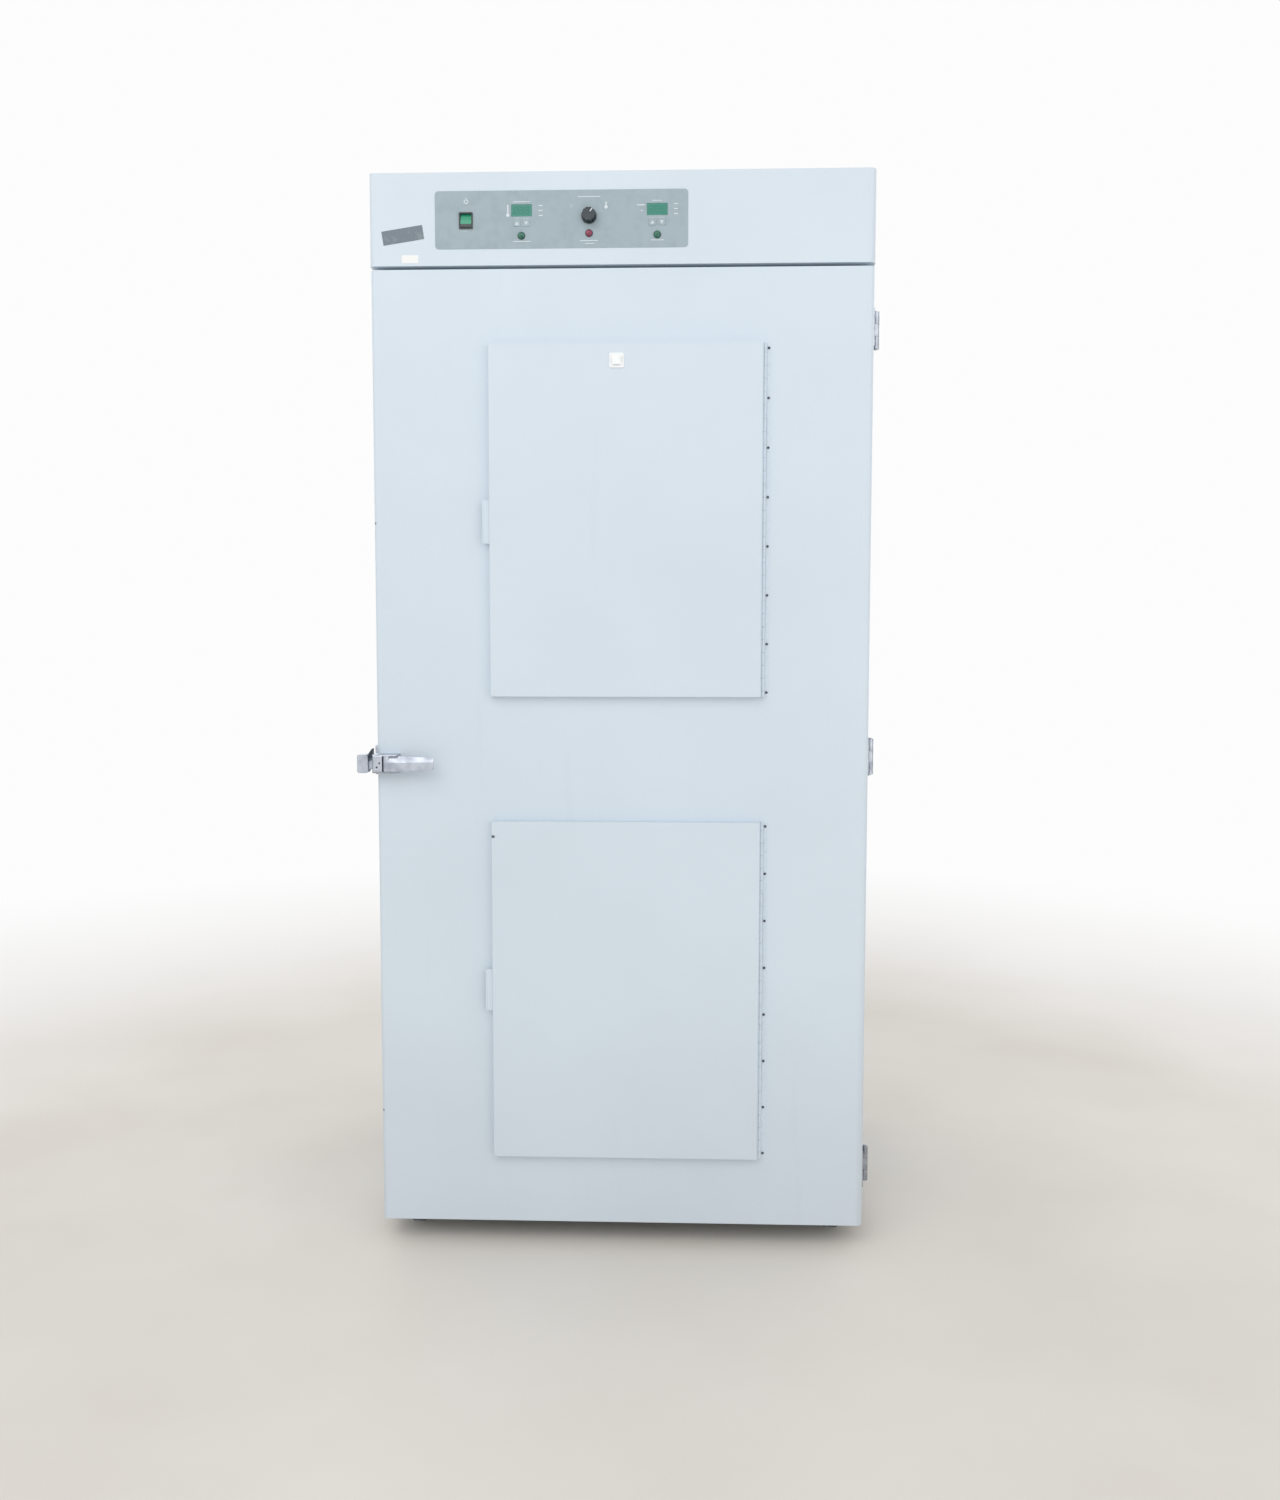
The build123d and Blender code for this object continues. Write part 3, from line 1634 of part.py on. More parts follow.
def latch_base():
    """The cast body of the latch, hollow for the bolt and the lever's hub."""
    body = block(latch_left, latch_right, door_front - latch_depth, door_front, latch_low, latch_high)
    front_edges = body.edges().group_by(Axis.Y)[0]
    body = fillet(front_edges, latch_round)
    hollow = block(
        latch_left + latch_wall,
        latch_right - latch_wall,
        door_front - latch_depth + latch_wall,
        door_front,
        latch_low + latch_wall,
        latch_high - latch_wall,
    )
    lever_half = lever_height / 2 + lever_play
    lever_way = block(
        lever_pivot_x - lever_hub_radius - lever_play,
        latch_right,
        door_front - latch_depth,
        door_front - lever_pivot_depth + lever_hub_radius + lever_play,
        latch_centre_z - lever_half,
        latch_centre_z + lever_half,
    )
    bolt_way = block(
        latch_left,
        latch_left + latch_wall,
        door_front - bolt_front - lever_play,
        door_front - bolt_front + bolt_thickness + lever_play,
        latch_centre_z - bolt_height / 2 - bolt_taper / 2,
        latch_centre_z + bolt_height / 2 + lever_play,
    )
    body = body - hollow - lever_way - bolt_way
    pin_low = latch_low + latch_wall / 2
    pin_high = latch_high - latch_wall / 2
    pivot_pin = rod_z(lever_pivot_x, lever_pivot_y, pin_low, pin_high, lever_pin_radius)
    return body + pivot_pin


def latch_bolt():
    """A sliding bolt with a tapered nose, and a slotted tail behind the lever's hub."""
    low = latch_centre_z - bolt_height / 2
    high = latch_centre_z + bolt_height / 2
    nose_root = latch_left + latch_wall
    front = door_front - bolt_front
    back = front + bolt_thickness
    nose_points = [
        (bolt_tip, low - bolt_taper / 2),
        (nose_root, low),
        (nose_root, high),
        (bolt_tip, high - bolt_taper / 2),
    ]
    nose_plane = Plane((0, front, 0), x_dir=(1, 0, 0), z_dir=(0, -1, 0))
    nose = extrude(nose_plane * make_face(Polyline(*nose_points, close=True)), -bolt_thickness)
    tail_end = lever_pivot_x + crank_radius / 3
    bar_end = lever_pivot_x - lever_hub_radius - bolt_travel - 2 * lever_play
    bar = block(nose_root, bar_end, front, back, low, high)
    tail_front = door_front - bolt_tail_front
    tail_back = tail_front + bolt_tail_thickness
    tail_high = latch_centre_z + crank_offset_z - crank_thickness / 2 - lever_play
    tail = block(bar_end - bolt_web, tail_end, tail_front, tail_back, low, tail_high)
    web = block(bar_end - bolt_web, bar_end, back, tail_back, low, tail_high)
    slot_half = crank_pin_radius + crank_pin_play
    slot = block(
        lever_pivot_x - slot_half,
        lever_pivot_x + slot_half,
        tail_front,
        tail_back,
        latch_centre_z,
        tail_high,
    )
    return nose + bar + tail + web - slot


def lever_section(x, front, back, height, bevel):
    """The handle's cross-section at one place: a flat front with a sloping upper part."""
    low = latch_centre_z - height / 2
    high = latch_centre_z + height / 2
    points = [
        (back, low),
        (front, low),
        (front, high - bevel),
        (front + bevel * lever_bevel_slope, high),
        (back, high),
    ]
    plane = Plane((x, 0, 0), x_dir=(0, 1, 0), z_dir=(1, 0, 0))
    return plane * make_face(Polyline(*points, close=True))


def latch_lever():
    """The bevelled handle with its hub, and a crank whose pin runs in the bolt's slot."""
    low = latch_centre_z - lever_height / 2
    high = latch_centre_z + lever_height / 2
    hub = rod_z(lever_pivot_x, lever_pivot_y, low, high, lever_hub_radius)
    root_front = lever_pivot_y - lever_hub_radius
    root_back = root_front + lever_root_thickness
    tip_front = door_front - lever_reach
    tip_back = tip_front + lever_tip_thickness
    sections = [
        lever_section(lever_pivot_x, root_front, root_back, lever_height, lever_root_bevel),
        lever_section(latch_right, root_front, root_back, lever_height, lever_root_bevel),
        lever_section(lever_end, tip_front, tip_back, lever_tip_height, lever_tip_bevel),
    ]
    handle = loft(sections, ruled=True)
    lower_tip_edge = handle.faces().sort_by(Axis.X)[-1].edges().filter_by(Axis.Y).sort_by(Axis.Z)[0]
    handle = fillet(lower_tip_edge, lever_tip_round)
    crank_z = latch_centre_z + crank_offset_z
    crank_y = lever_pivot_y + crank_radius
    crank = block(
        lever_pivot_x - crank_thickness / 2,
        lever_pivot_x + crank_thickness / 2,
        lever_pivot_y,
        crank_y,
        crank_z - crank_thickness / 2,
        crank_z + crank_thickness / 2,
    )
    pin_low = latch_centre_z + lever_play
    crank_pin = rod_z(lever_pivot_x, crank_y, pin_low, crank_z + crank_thickness / 2, crank_pin_radius)
    bore = rod_z(lever_pivot_x, lever_pivot_y, low, high, lever_pin_radius + hinge_play)
    return hub + handle + crank + crank_pin - bore


def strike_bracket():
    """The strike: a base on the cabinet's side, an arm along the door's edge and a hooked head."""
    base_back = inner_front + strike_base_length
    base = block(
        strike_inside - strike_arm_thickness,
        -half_width,
        inner_front,
        base_back,
        latch_centre_z - strike_base_height / 2,
        latch_centre_z + strike_base_height / 2,
    )
    base = fillet(base.edges().filter_by(Axis.X), strike_round)
    arm = block(
        strike_inside - strike_arm_thickness,
        strike_inside,
        strike_front,
        inner_front + strike_base_length / 2,
        latch_centre_z - strike_arm_height / 2,
        latch_centre_z + strike_arm_height / 2,
    )
    head = block(
        strike_outside,
        strike_inside,
        strike_front,
        strike_front + strike_hook_depth,
        latch_centre_z - strike_height / 2,
        latch_centre_z + strike_height / 2,
    )
    head = fillet(head.edges().filter_by(Axis.Y), strike_round)
    return base + arm + head


def strike_wedge():
    """The dark nylon guide on the inner side of the strike's arm."""
    back = strike_front + strike_hook_depth
    points = [
        (strike_inside, latch_centre_z + wedge_low),
        (strike_inside + wedge_width, latch_centre_z + wedge_low),
        (strike_inside + wedge_width, latch_centre_z + wedge_high),
        (strike_inside, latch_centre_z + (wedge_low + wedge_high) / 2),
    ]
    plane = Plane((0, back, 0), x_dir=(1, 0, 0), z_dir=(0, -1, 0))
    return extrude(plane * make_face(Polyline(*points, close=True)), wedge_depth)


# Small parts of the casing

def case_studs():
    """A headed stud on each side of the head, and a plug in its top."""
    y = inner_front + stud_setback
    neck = rod_x(y, stud_z, half_width, half_width + stud_neck, stud_neck_radius)
    head = rod_x(y, stud_z, half_width + stud_neck, half_width + stud_neck + stud_head, stud_head_radius)
    stud = neck + head
    plug_y = door_front + plug_setback
    plug = rod_z(plug_x, plug_y, head_top, head_top + plug_rise, plug_radius)
    return [stud, mirror(stud, Plane.YZ), plug]


def supply_gland():
    """The gland for the supply lead: a round neck in the sheet, a flange, a nut and a through bore."""
    inner_end = inner_back - gland_inside
    outer_end = cabinet_back + gland_length
    flange = hexagon_y(gland_x, gland_z, cabinet_back, cabinet_back + gland_flange, gland_radius)
    neck = rod_y(gland_x, gland_z, inner_end, cabinet_back, gland_neck_radius)
    nut = hexagon_y(gland_x, gland_z, cabinet_back + gland_flange, outer_end, gland_nut_radius)
    bore = rod_y(gland_x, gland_z, inner_end, outer_end, gland_bore_radius)
    return flange + neck + nut - bore


save("levelling_feet", *levelling_feet())
save("base_tray", base_tray())
save("outer_left_side", side_panel(-1))
save("outer_right_side", side_panel(1))
save("outer_back_panel", back_panel())
save("outer_top_cover", top_cover())
save("control_head", control_head())
save("front_frame", *front_frame())
save("cabinet_insulation", *cabinet_insulation())
save("chamber_liner", *chamber_liner())
save("head_deck", head_deck())
save("supply_duct_panel", duct_panel(-1))
save("return_duct_panel", duct_panel(1))
save("ceiling_panel", ceiling_panel())
save("shelf_standards", *shelf_standards())
save("shelf_clips", *shelf_clips())
save("shelves", *[shelf(slot_z + clip_thickness / 2) for slot_z in shelf_slot_zs()])
save("blower_housing", *blower_housing())
save("blower_wheel", *blower_wheel())
save("blower_motor", blower_motor())
save("heater_element", *heater_element())
save("temperature_probes", *temperature_probes())
save("power_relay", power_relay())
save("control_overlay", control_overlay())
save("display_windows", *display_windows())
save("display_boards", *display_boards())
key_names = ("up_key_left", "down_key_left", "up_key_right", "down_key_right")
for key_name, (key_x, key_centre_z) in zip(key_names, key_places()):
    save(key_name, key_cap(key_x, key_centre_z))
save("green_lamps", *[lamp(x, green_lamp_z) for x in green_lamp_xs])
save("red_lamp", lamp(red_lamp_x, red_lamp_z))
save("rocker_housing", rocker_housing())
save("power_rocker", power_rocker())
save("limit_thermostat", limit_thermostat())
save("limit_knob", limit_knob())
save("door_outer_skin", door_outer_skin())
save("door_inner_panel", door_inner_panel())
save("door_insulation", door_insulation())
save("door_gasket", *door_gasket())
save("window_frames", *window_frames())
save("window_panes", *window_panes())
save("door_hinge_fixed_leaves", *[door_hinge_leaf(z, False) for z in hinge_zs])
save("door_hinge_moving_leaves", *[door_hinge_leaf(z, True) for z in hinge_zs])
save("door_hinge_pins", *door_hinge_pins())
cover_bottoms = (upper_cover_bottom, lower_cover_bottom)
for cover_name, cover_bottom in zip(("upper", "lower"), cover_bottoms):
    save(f"{cover_name}_cover", cover_pan(cover_bottom), cover_tab(cover_bottom))
    save(f"{cover_name}_cover_leaf", piano_leaf_solid(cover_bottom, True))
save("cover_fixed_leaves", *[piano_leaf_solid(bottom, False) for bottom in cover_bottoms])
save("cover_hinge_pins", *[piano_pin(bottom) for bottom in cover_bottoms])
save("cover_catches", *cover_catches())
save("cable_tie_mount", cable_tie_mount())
save("latch_base", latch_base())
save("latch_bolt", latch_bolt())
save("latch_lever", latch_lever())
save("strike_bracket", strike_bracket())
save("strike_wedge", strike_wedge())
save("case_studs", *case_studs())
save("supply_gland", supply_gland())
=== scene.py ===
"""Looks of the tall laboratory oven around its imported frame. All lengths are in metres."""

import json
import math

import bmesh
import bpy
from mathutils import Color, Matrix, Vector


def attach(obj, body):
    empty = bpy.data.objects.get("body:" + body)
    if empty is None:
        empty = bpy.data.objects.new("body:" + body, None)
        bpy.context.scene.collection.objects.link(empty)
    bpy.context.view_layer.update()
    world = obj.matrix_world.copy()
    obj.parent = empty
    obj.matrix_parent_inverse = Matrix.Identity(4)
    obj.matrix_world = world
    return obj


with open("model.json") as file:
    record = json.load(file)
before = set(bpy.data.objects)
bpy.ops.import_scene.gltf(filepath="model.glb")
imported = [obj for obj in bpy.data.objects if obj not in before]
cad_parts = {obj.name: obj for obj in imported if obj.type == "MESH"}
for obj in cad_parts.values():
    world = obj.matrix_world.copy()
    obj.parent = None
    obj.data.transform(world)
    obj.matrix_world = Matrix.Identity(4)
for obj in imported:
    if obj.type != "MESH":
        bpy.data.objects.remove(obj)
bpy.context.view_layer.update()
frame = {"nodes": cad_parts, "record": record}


# Sizes and places

# Camera, worked out from the cabinet's corners in the photograph
camera_place = (0.1343, -3.1064, 1.2329)
camera_right = (0.99935, 0.03596, 0.00096)
camera_up = (-0.00372, 0.07682, 0.99704)
camera_back = (0.03578, -0.99640, 0.07690)
photo_long_side = 1500
photo_focal = 1350
sensor_width = 36.0

# Stage
floor_radius = 12.0
floor_rings = 24
floor_sides = 72
floor_fade_start = 1.6
floor_fade_end = 4.5
floor_far_colour = (246, 246, 246)
lamp_aim = (0.0, 0.0, 1.05)
lamp_size = 4.0
lamp_setups = {
    "key_lamp": ((-1.6, -3.9, 3.9), 66),
    "fill_lamp": ((2.6, -3.6, 2.2), 36),
    "back_lamp_left": ((-2.8, 3.4, 3.0), 44),
    "back_lamp_right": ((3.0, 3.2, 2.4), 38),
}
world_strength = 0.60
background_strength = 0.98
pure_white = (1.0, 1.0, 1.0, 1.0)

# Panel on the head
overlay_front = -0.4088
print_thickness = 0.00006
bar_end_share = 0.45
power_x = -0.3037
power_z = 2.0980
power_radius = 0.0046
power_stroke = 0.0016
power_gap = math.radians(38)
readout_xs = (-0.195, 0.070)
readout_z = 2.080
readout_recess = 0.0006
digit_count = 3
digit_width = 0.0072
digit_height = 0.0130
digit_stroke = 0.0014
digit_gap = 0.0003
digit_pitch = 0.0112
digit_slant = 0.12
key_z = 2.0555
key_spacing = 0.0183
key_proud = 0.0005
key_mark_width = 0.0066
key_mark_height = 0.0060
lamp_places = {"green": ((-0.1955, 2.0318), (0.0700, 2.0318)), "red": ((-0.0630, 2.0355),)}
lamp_radius = 0.0064
lamp_lens_height = 0.0024
lamp_dome_rise = 0.0026
lamp_rim_width = 0.0011
lamp_rim_height = 0.0009
lamp_rim_bevel = 0.0003
lamp_sides = 32
lamp_dome_steps = 7
rocker_x = -0.3042
rocker_z = 2.0613
# how far below the rocker's middle the paddle's painted shade begins
rocker_shade_drop = 0.0062
knob_x = -0.063
knob_z = 2.068
knob_front = -0.4268
knob_skirt_front = -0.4123
knob_pointer_angle = math.radians(38)
knob_mark_low = 0.0042
knob_mark_high = 0.0122
skirt_mark_low = 0.0128
skirt_mark_high = 0.0147
knob_mark_width = 0.0019

# Print on the panel: lines as x, z, width and height, thermometers as x, z, height, bulb and stem
left_x, right_x = readout_xs
clear_lines = (
    (left_x, 2.0965, 0.0340, 0.0013),
    (right_x, 2.0965, 0.0190, 0.0011),
    (knob_x, 2.1050, 0.0450, 0.0015),
    (left_x + 0.0005, 2.0210, 0.0350, 0.0014),
    (right_x, 2.0215, 0.0260, 0.0013),
    (knob_x, 2.0215, 0.0350, 0.0014),
    (knob_x + 0.0010, 2.0160, 0.0180, 0.0013),
    (right_x - 0.0320, 2.0882, 0.0150, 0.0020),
    (right_x - 0.0300, 2.0775, 0.0032, 0.0020),
)
faint_lines = (
    (knob_x - 0.0345, 2.0890, 0.0085, 0.0012),
    (knob_x - 0.0345, 2.0855, 0.0050, 0.0012),
    (rocker_x - 0.0040, 2.0418, 0.0150, 0.0012),
)
thermometers = (
    (left_x - 0.0268, 2.0795, 0.0235, 0.0034, 0.0012),
    (knob_x + 0.0333, 2.0884, 0.0135, 0.0034, 0.0013),
)
side_line_tops = ((left_x + 0.0375, 2.0890), (right_x + 0.0365, 2.0900))
side_line_count = 3
side_line_pitch = 0.0095
side_line_size = (0.0082, 0.0018)
key_rule_z = 2.0640
up_key_rule_size = (0.0070, 0.0010)
down_key_rule_size = (0.0105, 0.0012)
power_bar = (power_x, power_z + 0.0034, 0.0017, 0.0060)

# Door, covers and latch
door_front = -0.408
cover_bottoms = {"upper": 1.132, "lower": 0.1905}
piano_x = 0.2812
piano_radius = 0.0038
piano_knuckle = 0.0254
leaf_front = -0.4092
leaf_screw_x = 0.2890
leaf_screw_count = 8
leaf_screw_pitch = 0.09614
leaf_screw_offset = 0.0085
leaf_screw_radius = 0.0026
hinge_zs = (0.158, 1.0085, 1.859)
hinge_screw_rise = 0.024
hinge_screw_columns = {"cabinet": (0.498, -0.3230), "main_door": (0.497, -0.3710)}
hinge_screw_radius = 0.0036
latch_front = -0.440
latch_rivets = ((-0.4880, 0.9905), (-0.4828, 0.9985))
latch_rivet_radius = 0.0019
chip_radius = 0.0035
chip_colour = (96, 104, 112)
chip_places = ((-0.4925, -0.408, 1.476), (-0.4925, -0.408, 0.278), (-0.2576, -0.425, 0.850))

# Casing
half_width = 0.495
cabinet_back = 0.424
head_top = 2.154
back_bottom = 0.048
back_screw_inset = 0.011
back_screws_up = 9
back_screws_across = 5
lid_screw_drop = 0.0125
lid_screw_ys = (-0.32, 0.40)
lid_screws_a_side = 5
casing_screw_radius = 0.0042

# Sheet metal: the nodes with rounded folds, and those brushed across
rounded_nodes = ("control_head", "door_outer_skin", "upper_cover", "lower_cover")
edge_round = 0.0010
edge_steps = 3
edge_least_turn = math.radians(50)
edge_weld = 0.00001
across_nodes = ("shelves", "shelf_clips", "ceiling_panel", "blower_housing")
steel = (196, 199, 201)
steel_shade = (168, 172, 176)

# Screws
screw_sides = 16
screw_profile = ((1.0, 0.0), (1.0, 0.30), (0.93, 0.52), (0.78, 0.66), (0.62, 0.70))
screw_recess_reach = 0.50
screw_recess_half = 0.11
screw_recess_floor = 0.22

# Labels
tag_centre = (-0.4291, 2.0349)
tag_size = (0.0814, 0.0273)
tag_turn = math.radians(8.7)
sticker_centre = (-0.4153, 1.9894)
sticker_size = (0.0327, 0.0150)
label_thickness = 0.00025
label_corner = 0.0008


# Node materials

def screen(red, green, blue):
    """A linear colour from screen values of 0 to 255."""
    full = 255
    colour = Color((red / full, green / full, blue / full)).from_srgb_to_scene_linear()
    return (*colour, 1.0)


class Look:
    """A node material while it is being put together."""

    def __init__(self, name):
        self.material = bpy.data.materials.new(name)
        self.material.use_nodes = True
        self.tree = self.material.node_tree
        self.tree.nodes.clear()
        self.shader = self.tree.nodes.new("ShaderNodeBsdfPrincipled")
        self.output = self.tree.nodes.new("ShaderNodeOutputMaterial")
        self.tree.links.new(self.shader.outputs["BSDF"], self.output.inputs["Surface"])
        self.place = self.tree.nodes.new("ShaderNodeTexCoord").outputs["Object"]

    def feed(self, socket, value):
        """Links a socket, or sets its number or colour."""
        if isinstance(value, bpy.types.NodeSocket):
            self.tree.links.new(value, socket)
        else:
            socket.default_value = value

    def node(self, kind, result, inputs, **settings):
        """Adds a node, fills its inputs and gives back one output."""
        made = self.tree.nodes.new(kind)
        for name, value in settings.items():
            setattr(made, name, value)
        for name, value in inputs.items():
            self.feed(made.inputs[name], value)
        return made.outputs[result]

    def set(self, **values):
        """Fills the shader's inputs, named with underscores for spaces."""
        for name, value in values.items():
            self.feed(self.shader.inputs[name.replace("_", " ")], value)

    def math(self, operation, first, second=0.0):
        """A math node with two values."""
        return self.node("ShaderNodeMath", "Value", {0: first, 1: second}, operation=operation)

    def axis(self, name):
        """One coordinate of the place on the object."""
        return self.node("ShaderNodeSeparateXYZ", name, {"Vector": self.place})

    def noise(self, scale, detail=2.0, stretch=None):
        """Noise from 0 to 1, with its features per metre, and stretched along an axis if asked."""
        vector = self.place
        if stretch:
            vector = self.node(
                "ShaderNodeVectorMath", "Vector", {0: self.place, 1: stretch}, operation="MULTIPLY"
            )
        return self.node("ShaderNodeTexNoise", "Fac", {"Vector": vector, "Scale": scale, "Detail": detail})

    def ramp(self, value, low, high, start=0.0, end=1.0):
        """A value brought from low and high to start and end, held inside them."""
        inputs = {"Value": value, "From Min": low, "From Max": high, "To Min": start, "To Max": end}
        return self.node("ShaderNodeMapRange", "Result", inputs, clamp=True)

    def blend(self, factor, first, second):
        """A colour between two."""
        return self.node("ShaderNodeMixRGB", "Color", {"Fac": factor, "Color1": first, "Color2": second})

    def near(self, place, radius):
        """1 within a radius of a place, with a ragged edge."""
        away = self.node("ShaderNodeVectorMath", "Value", {0: self.place, 1: place}, operation="DISTANCE")
        ragged = self.ramp(self.noise(scale=900, detail=3), low=0.3, high=0.7, start=0.6, end=1.3)
        return self.math("LESS_THAN", away, self.math("MULTIPLY", ragged, radius))

    def bump(self, height, distance, strength=1.0):
        """Relief of the given depth on the shader's normal."""
        inputs = {"Height": height, "Distance": distance, "Strength": strength}
        self.set(Normal=self.node("ShaderNodeBump", "Normal", inputs))


def paint(name, colour, shade, rough=0.40, chips=()):
    """Satin powder coat: orange peel, faint clouding, rub marks, colour darker towards the bottom, and
    chips.
    """
    look = Look(name)
    clouds = look.ramp(look.noise(scale=2.4, detail=4), low=0.35, high=0.75, start=0.0, end=0.30)
    grain = look.ramp(look.noise(scale=800, detail=1), low=0.3, high=0.7, start=0.0, end=0.14)
    # colour darker towards the bottom, fading out about half a metre up
    darker_below = look.ramp(look.axis("Z"), low=0.05, high=0.55, start=0.42, end=0.0)
    streaks = look.noise(scale=26, detail=5, stretch=(1.0, 1.0, 0.06))
    rubs = look.ramp(streaks, low=0.64, high=0.74, start=0.0, end=0.12)
    worn = look.math("ADD", look.math("ADD", clouds, grain), look.math("ADD", darker_below, rubs))
    tone = look.blend(worn, colour, shade)
    for place in chips:
        tone = look.blend(look.near(place, chip_radius), tone, screen(*chip_colour))
    look.set(Base_Color=tone, IOR=1.5, Specular_IOR_Level=0.45)
    patches = look.noise(scale=14, detail=5)
    look.set(Roughness=look.ramp(patches, low=0.3, high=0.7, start=rough, end=rough + 0.12))
    look.bump(look.noise(scale=950, detail=2), distance=0.00005, strength=0.5)
    return look.material


def piano_paint(name, colour, shade):
    """Paint on the long hinges, with a dark joint line between knuckles."""
    look = Look(name)
    turn = look.math("FRACT", look.math("DIVIDE", look.axis("Z"), piano_knuckle))
    line = look.math("MULTIPLY", look.math("LESS_THAN", turn, 0.05), 0.22)
    across = look.math("ABSOLUTE", look.math("SUBTRACT", look.axis("X"), piano_x))
    on_barrel = look.math("LESS_THAN", across, piano_radius)
    joint = look.math("MULTIPLY", line, on_barrel)
    rubbed = look.ramp(look.noise(scale=120, detail=4), low=0.4, high=0.7, start=0.0, end=0.6)
    look.set(Base_Color=look.blend(joint, look.blend(rubbed, colour, shade), screen(58, 64, 70)))
    look.set(Roughness=look.ramp(rubbed, low=0.0, high=0.6, start=0.42, end=0.30))
    look.bump(look.math("SUBTRACT", look.noise(scale=900), joint), distance=0.0001, strength=0.4)
    return look.material


def brushed(name, colour, shade, grain, rough=0.30):
    """Brushed sheet: fine lines along the grain, smudges and a faint straw tint from heat."""
    look = Look(name)
    lines = look.noise(scale=1.0, detail=4, stretch=grain)
    smudge = look.ramp(look.noise(scale=7, detail=5), low=0.42, high=0.72, start=0.0, end=1.0)
    heat = look.ramp(look.noise(scale=1.7, detail=2), low=0.45, high=0.8, start=0.0, end=0.35)
    tone = look.blend(look.ramp(lines, low=0.3, high=0.7), shade, colour)
    tone = look.blend(heat, tone, screen(190, 180, 156))
    look.set(Base_Color=tone, Metallic=1.0)
    worn = look.math("MULTIPLY", smudge, 0.14)
    lined = look.ramp(lines, low=0.2, high=0.8, start=rough, end=rough + 0.12)
    look.set(Roughness=look.math("ADD", worn, lined))
    look.bump(lines, distance=0.00004, strength=0.6)
    return look.material


def zinc(name, colour, shade, cell=70, rough=0.38):
    """Zinc plate with its crystal flakes."""
    look = Look(name)
    flakes = look.node("ShaderNodeTexVoronoi", "Color", {"Vector": look.place, "Scale": cell})
    flake = look.node("ShaderNodeSeparateXYZ", "X", {"Vector": flakes})
    cloud = look.noise(scale=9, detail=4)
    share = look.math("MULTIPLY", flake, cloud)
    look.set(Base_Color=look.blend(look.ramp(share, low=0.1, high=0.6), shade, colour), Metallic=0.9)
    look.set(Roughness=look.ramp(flake, low=0.0, high=1.0, start=rough, end=rough + 0.2))
    look.bump(flake, distance=0.00003, strength=0.5)
    return look.material


def chrome(name, colour, shade, rough=0.16):
    """Plated metal with hazy patches and hairline scratches."""
    look = Look(name)
    haze = look.ramp(look.noise(scale=55, detail=5), low=0.4, high=0.72)
    hair = look.noise(scale=1.0, detail=3, stretch=(240.0, 900.0, 900.0))
    look.set(Base_Color=look.blend(haze, colour, shade), Metallic=1.0)
    look.set(Roughness=look.ramp(haze, low=0.0, high=1.0, start=rough, end=rough + 0.16))
    look.bump(hair, distance=0.00002, strength=0.5)
    return look.material


def plastic(name, colour, shade, rough=0.45, grain=1600, depth=0.00005, coat=0.0):
    """Moulded plastic or rubber with a fine spark-eroded grain and handling marks."""
    look = Look(name)
    spots = look.noise(scale=grain, detail=2)
    wear = look.ramp(look.noise(scale=60, detail=5), low=0.45, high=0.75)
    look.set(Base_Color=look.blend(wear, colour, shade), IOR=1.46, Coat_Weight=coat, Coat_Roughness=0.08)
    look.set(Roughness=look.ramp(wear, low=0.0, high=1.0, start=rough, end=rough + 0.12))
    look.bump(spots, distance=depth, strength=0.5)
    return look.material


def lens(name, colour, shade, painted_glow=0.0):
    """Tinted clear plastic: gloss, depth from a darker core, moulded ribs inside, and painted light from a
    faint emission if asked.
    """
    look = Look(name)
    ribs = look.noise(scale=420, detail=2, stretch=(1.0, 1.0, 0.4))
    tone = look.blend(look.ramp(ribs, low=0.35, high=0.65), shade, colour)
    look.set(Base_Color=tone, IOR=1.49, Coat_Weight=0.2, Coat_Roughness=0.1)
    # painted light: a faint emission lifts the lens colour; the lamps are not lit
    look.set(Emission_Color=colour, Emission_Strength=painted_glow)
    look.set(Roughness=look.ramp(ribs, low=0.2, high=0.8, start=0.12, end=0.26))
    look.bump(ribs, distance=0.0001, strength=0.3)
    return look.material


def paddle(name, colour, shade, dark):
    """The switch paddle: a green lens with painted shade on its lower part, split across its height."""
    look = Look(name)
    # painted shade: below this height the paddle is coloured dark, standing in for shade on its protruding
    # lower end
    darker_below = look.math("LESS_THAN", look.axis("Z"), rocker_z - rocker_shade_drop)
    ribs = look.noise(scale=500, detail=2)
    green = look.blend(look.ramp(ribs, low=0.3, high=0.7), shade, colour)
    look.set(Base_Color=look.blend(darker_below, green, dark), IOR=1.49, Coat_Weight=0.3, Coat_Roughness=0.12)
    look.set(Roughness=look.ramp(ribs, low=0.2, high=0.8, start=0.16, end=0.30))
    look.bump(ribs, distance=0.00008, strength=0.3)
    return look.material


def glass(name, tint):
    """Clear heat-proof glass with a faint green tint and wiping marks."""
    look = Look(name)
    wipes = look.noise(scale=9, detail=6, stretch=(1.0, 1.0, 0.5))
    look.set(Base_Color=tint, Transmission_Weight=1.0, IOR=1.47)
    look.set(Roughness=look.ramp(wipes, low=0.45, high=0.8, start=0.01, end=0.09))
    look.bump(wipes, distance=0.00002, strength=0.2)
    return look.material


def wool(name, colour, shade):
    """Mineral wool: tangled fibres in two tones."""
    look = Look(name)
    long_way = look.noise(scale=1.0, detail=6, stretch=(90.0, 600.0, 700.0))
    cross_way = look.noise(scale=1.0, detail=6, stretch=(700.0, 600.0, 90.0))
    fibre = look.math("MULTIPLY", long_way, cross_way)
    look.set(Base_Color=look.blend(look.ramp(fibre, low=0.1, high=0.45), shade, colour), Roughness=0.95)
    look.bump(fibre, distance=0.002, strength=0.8)
    return look.material


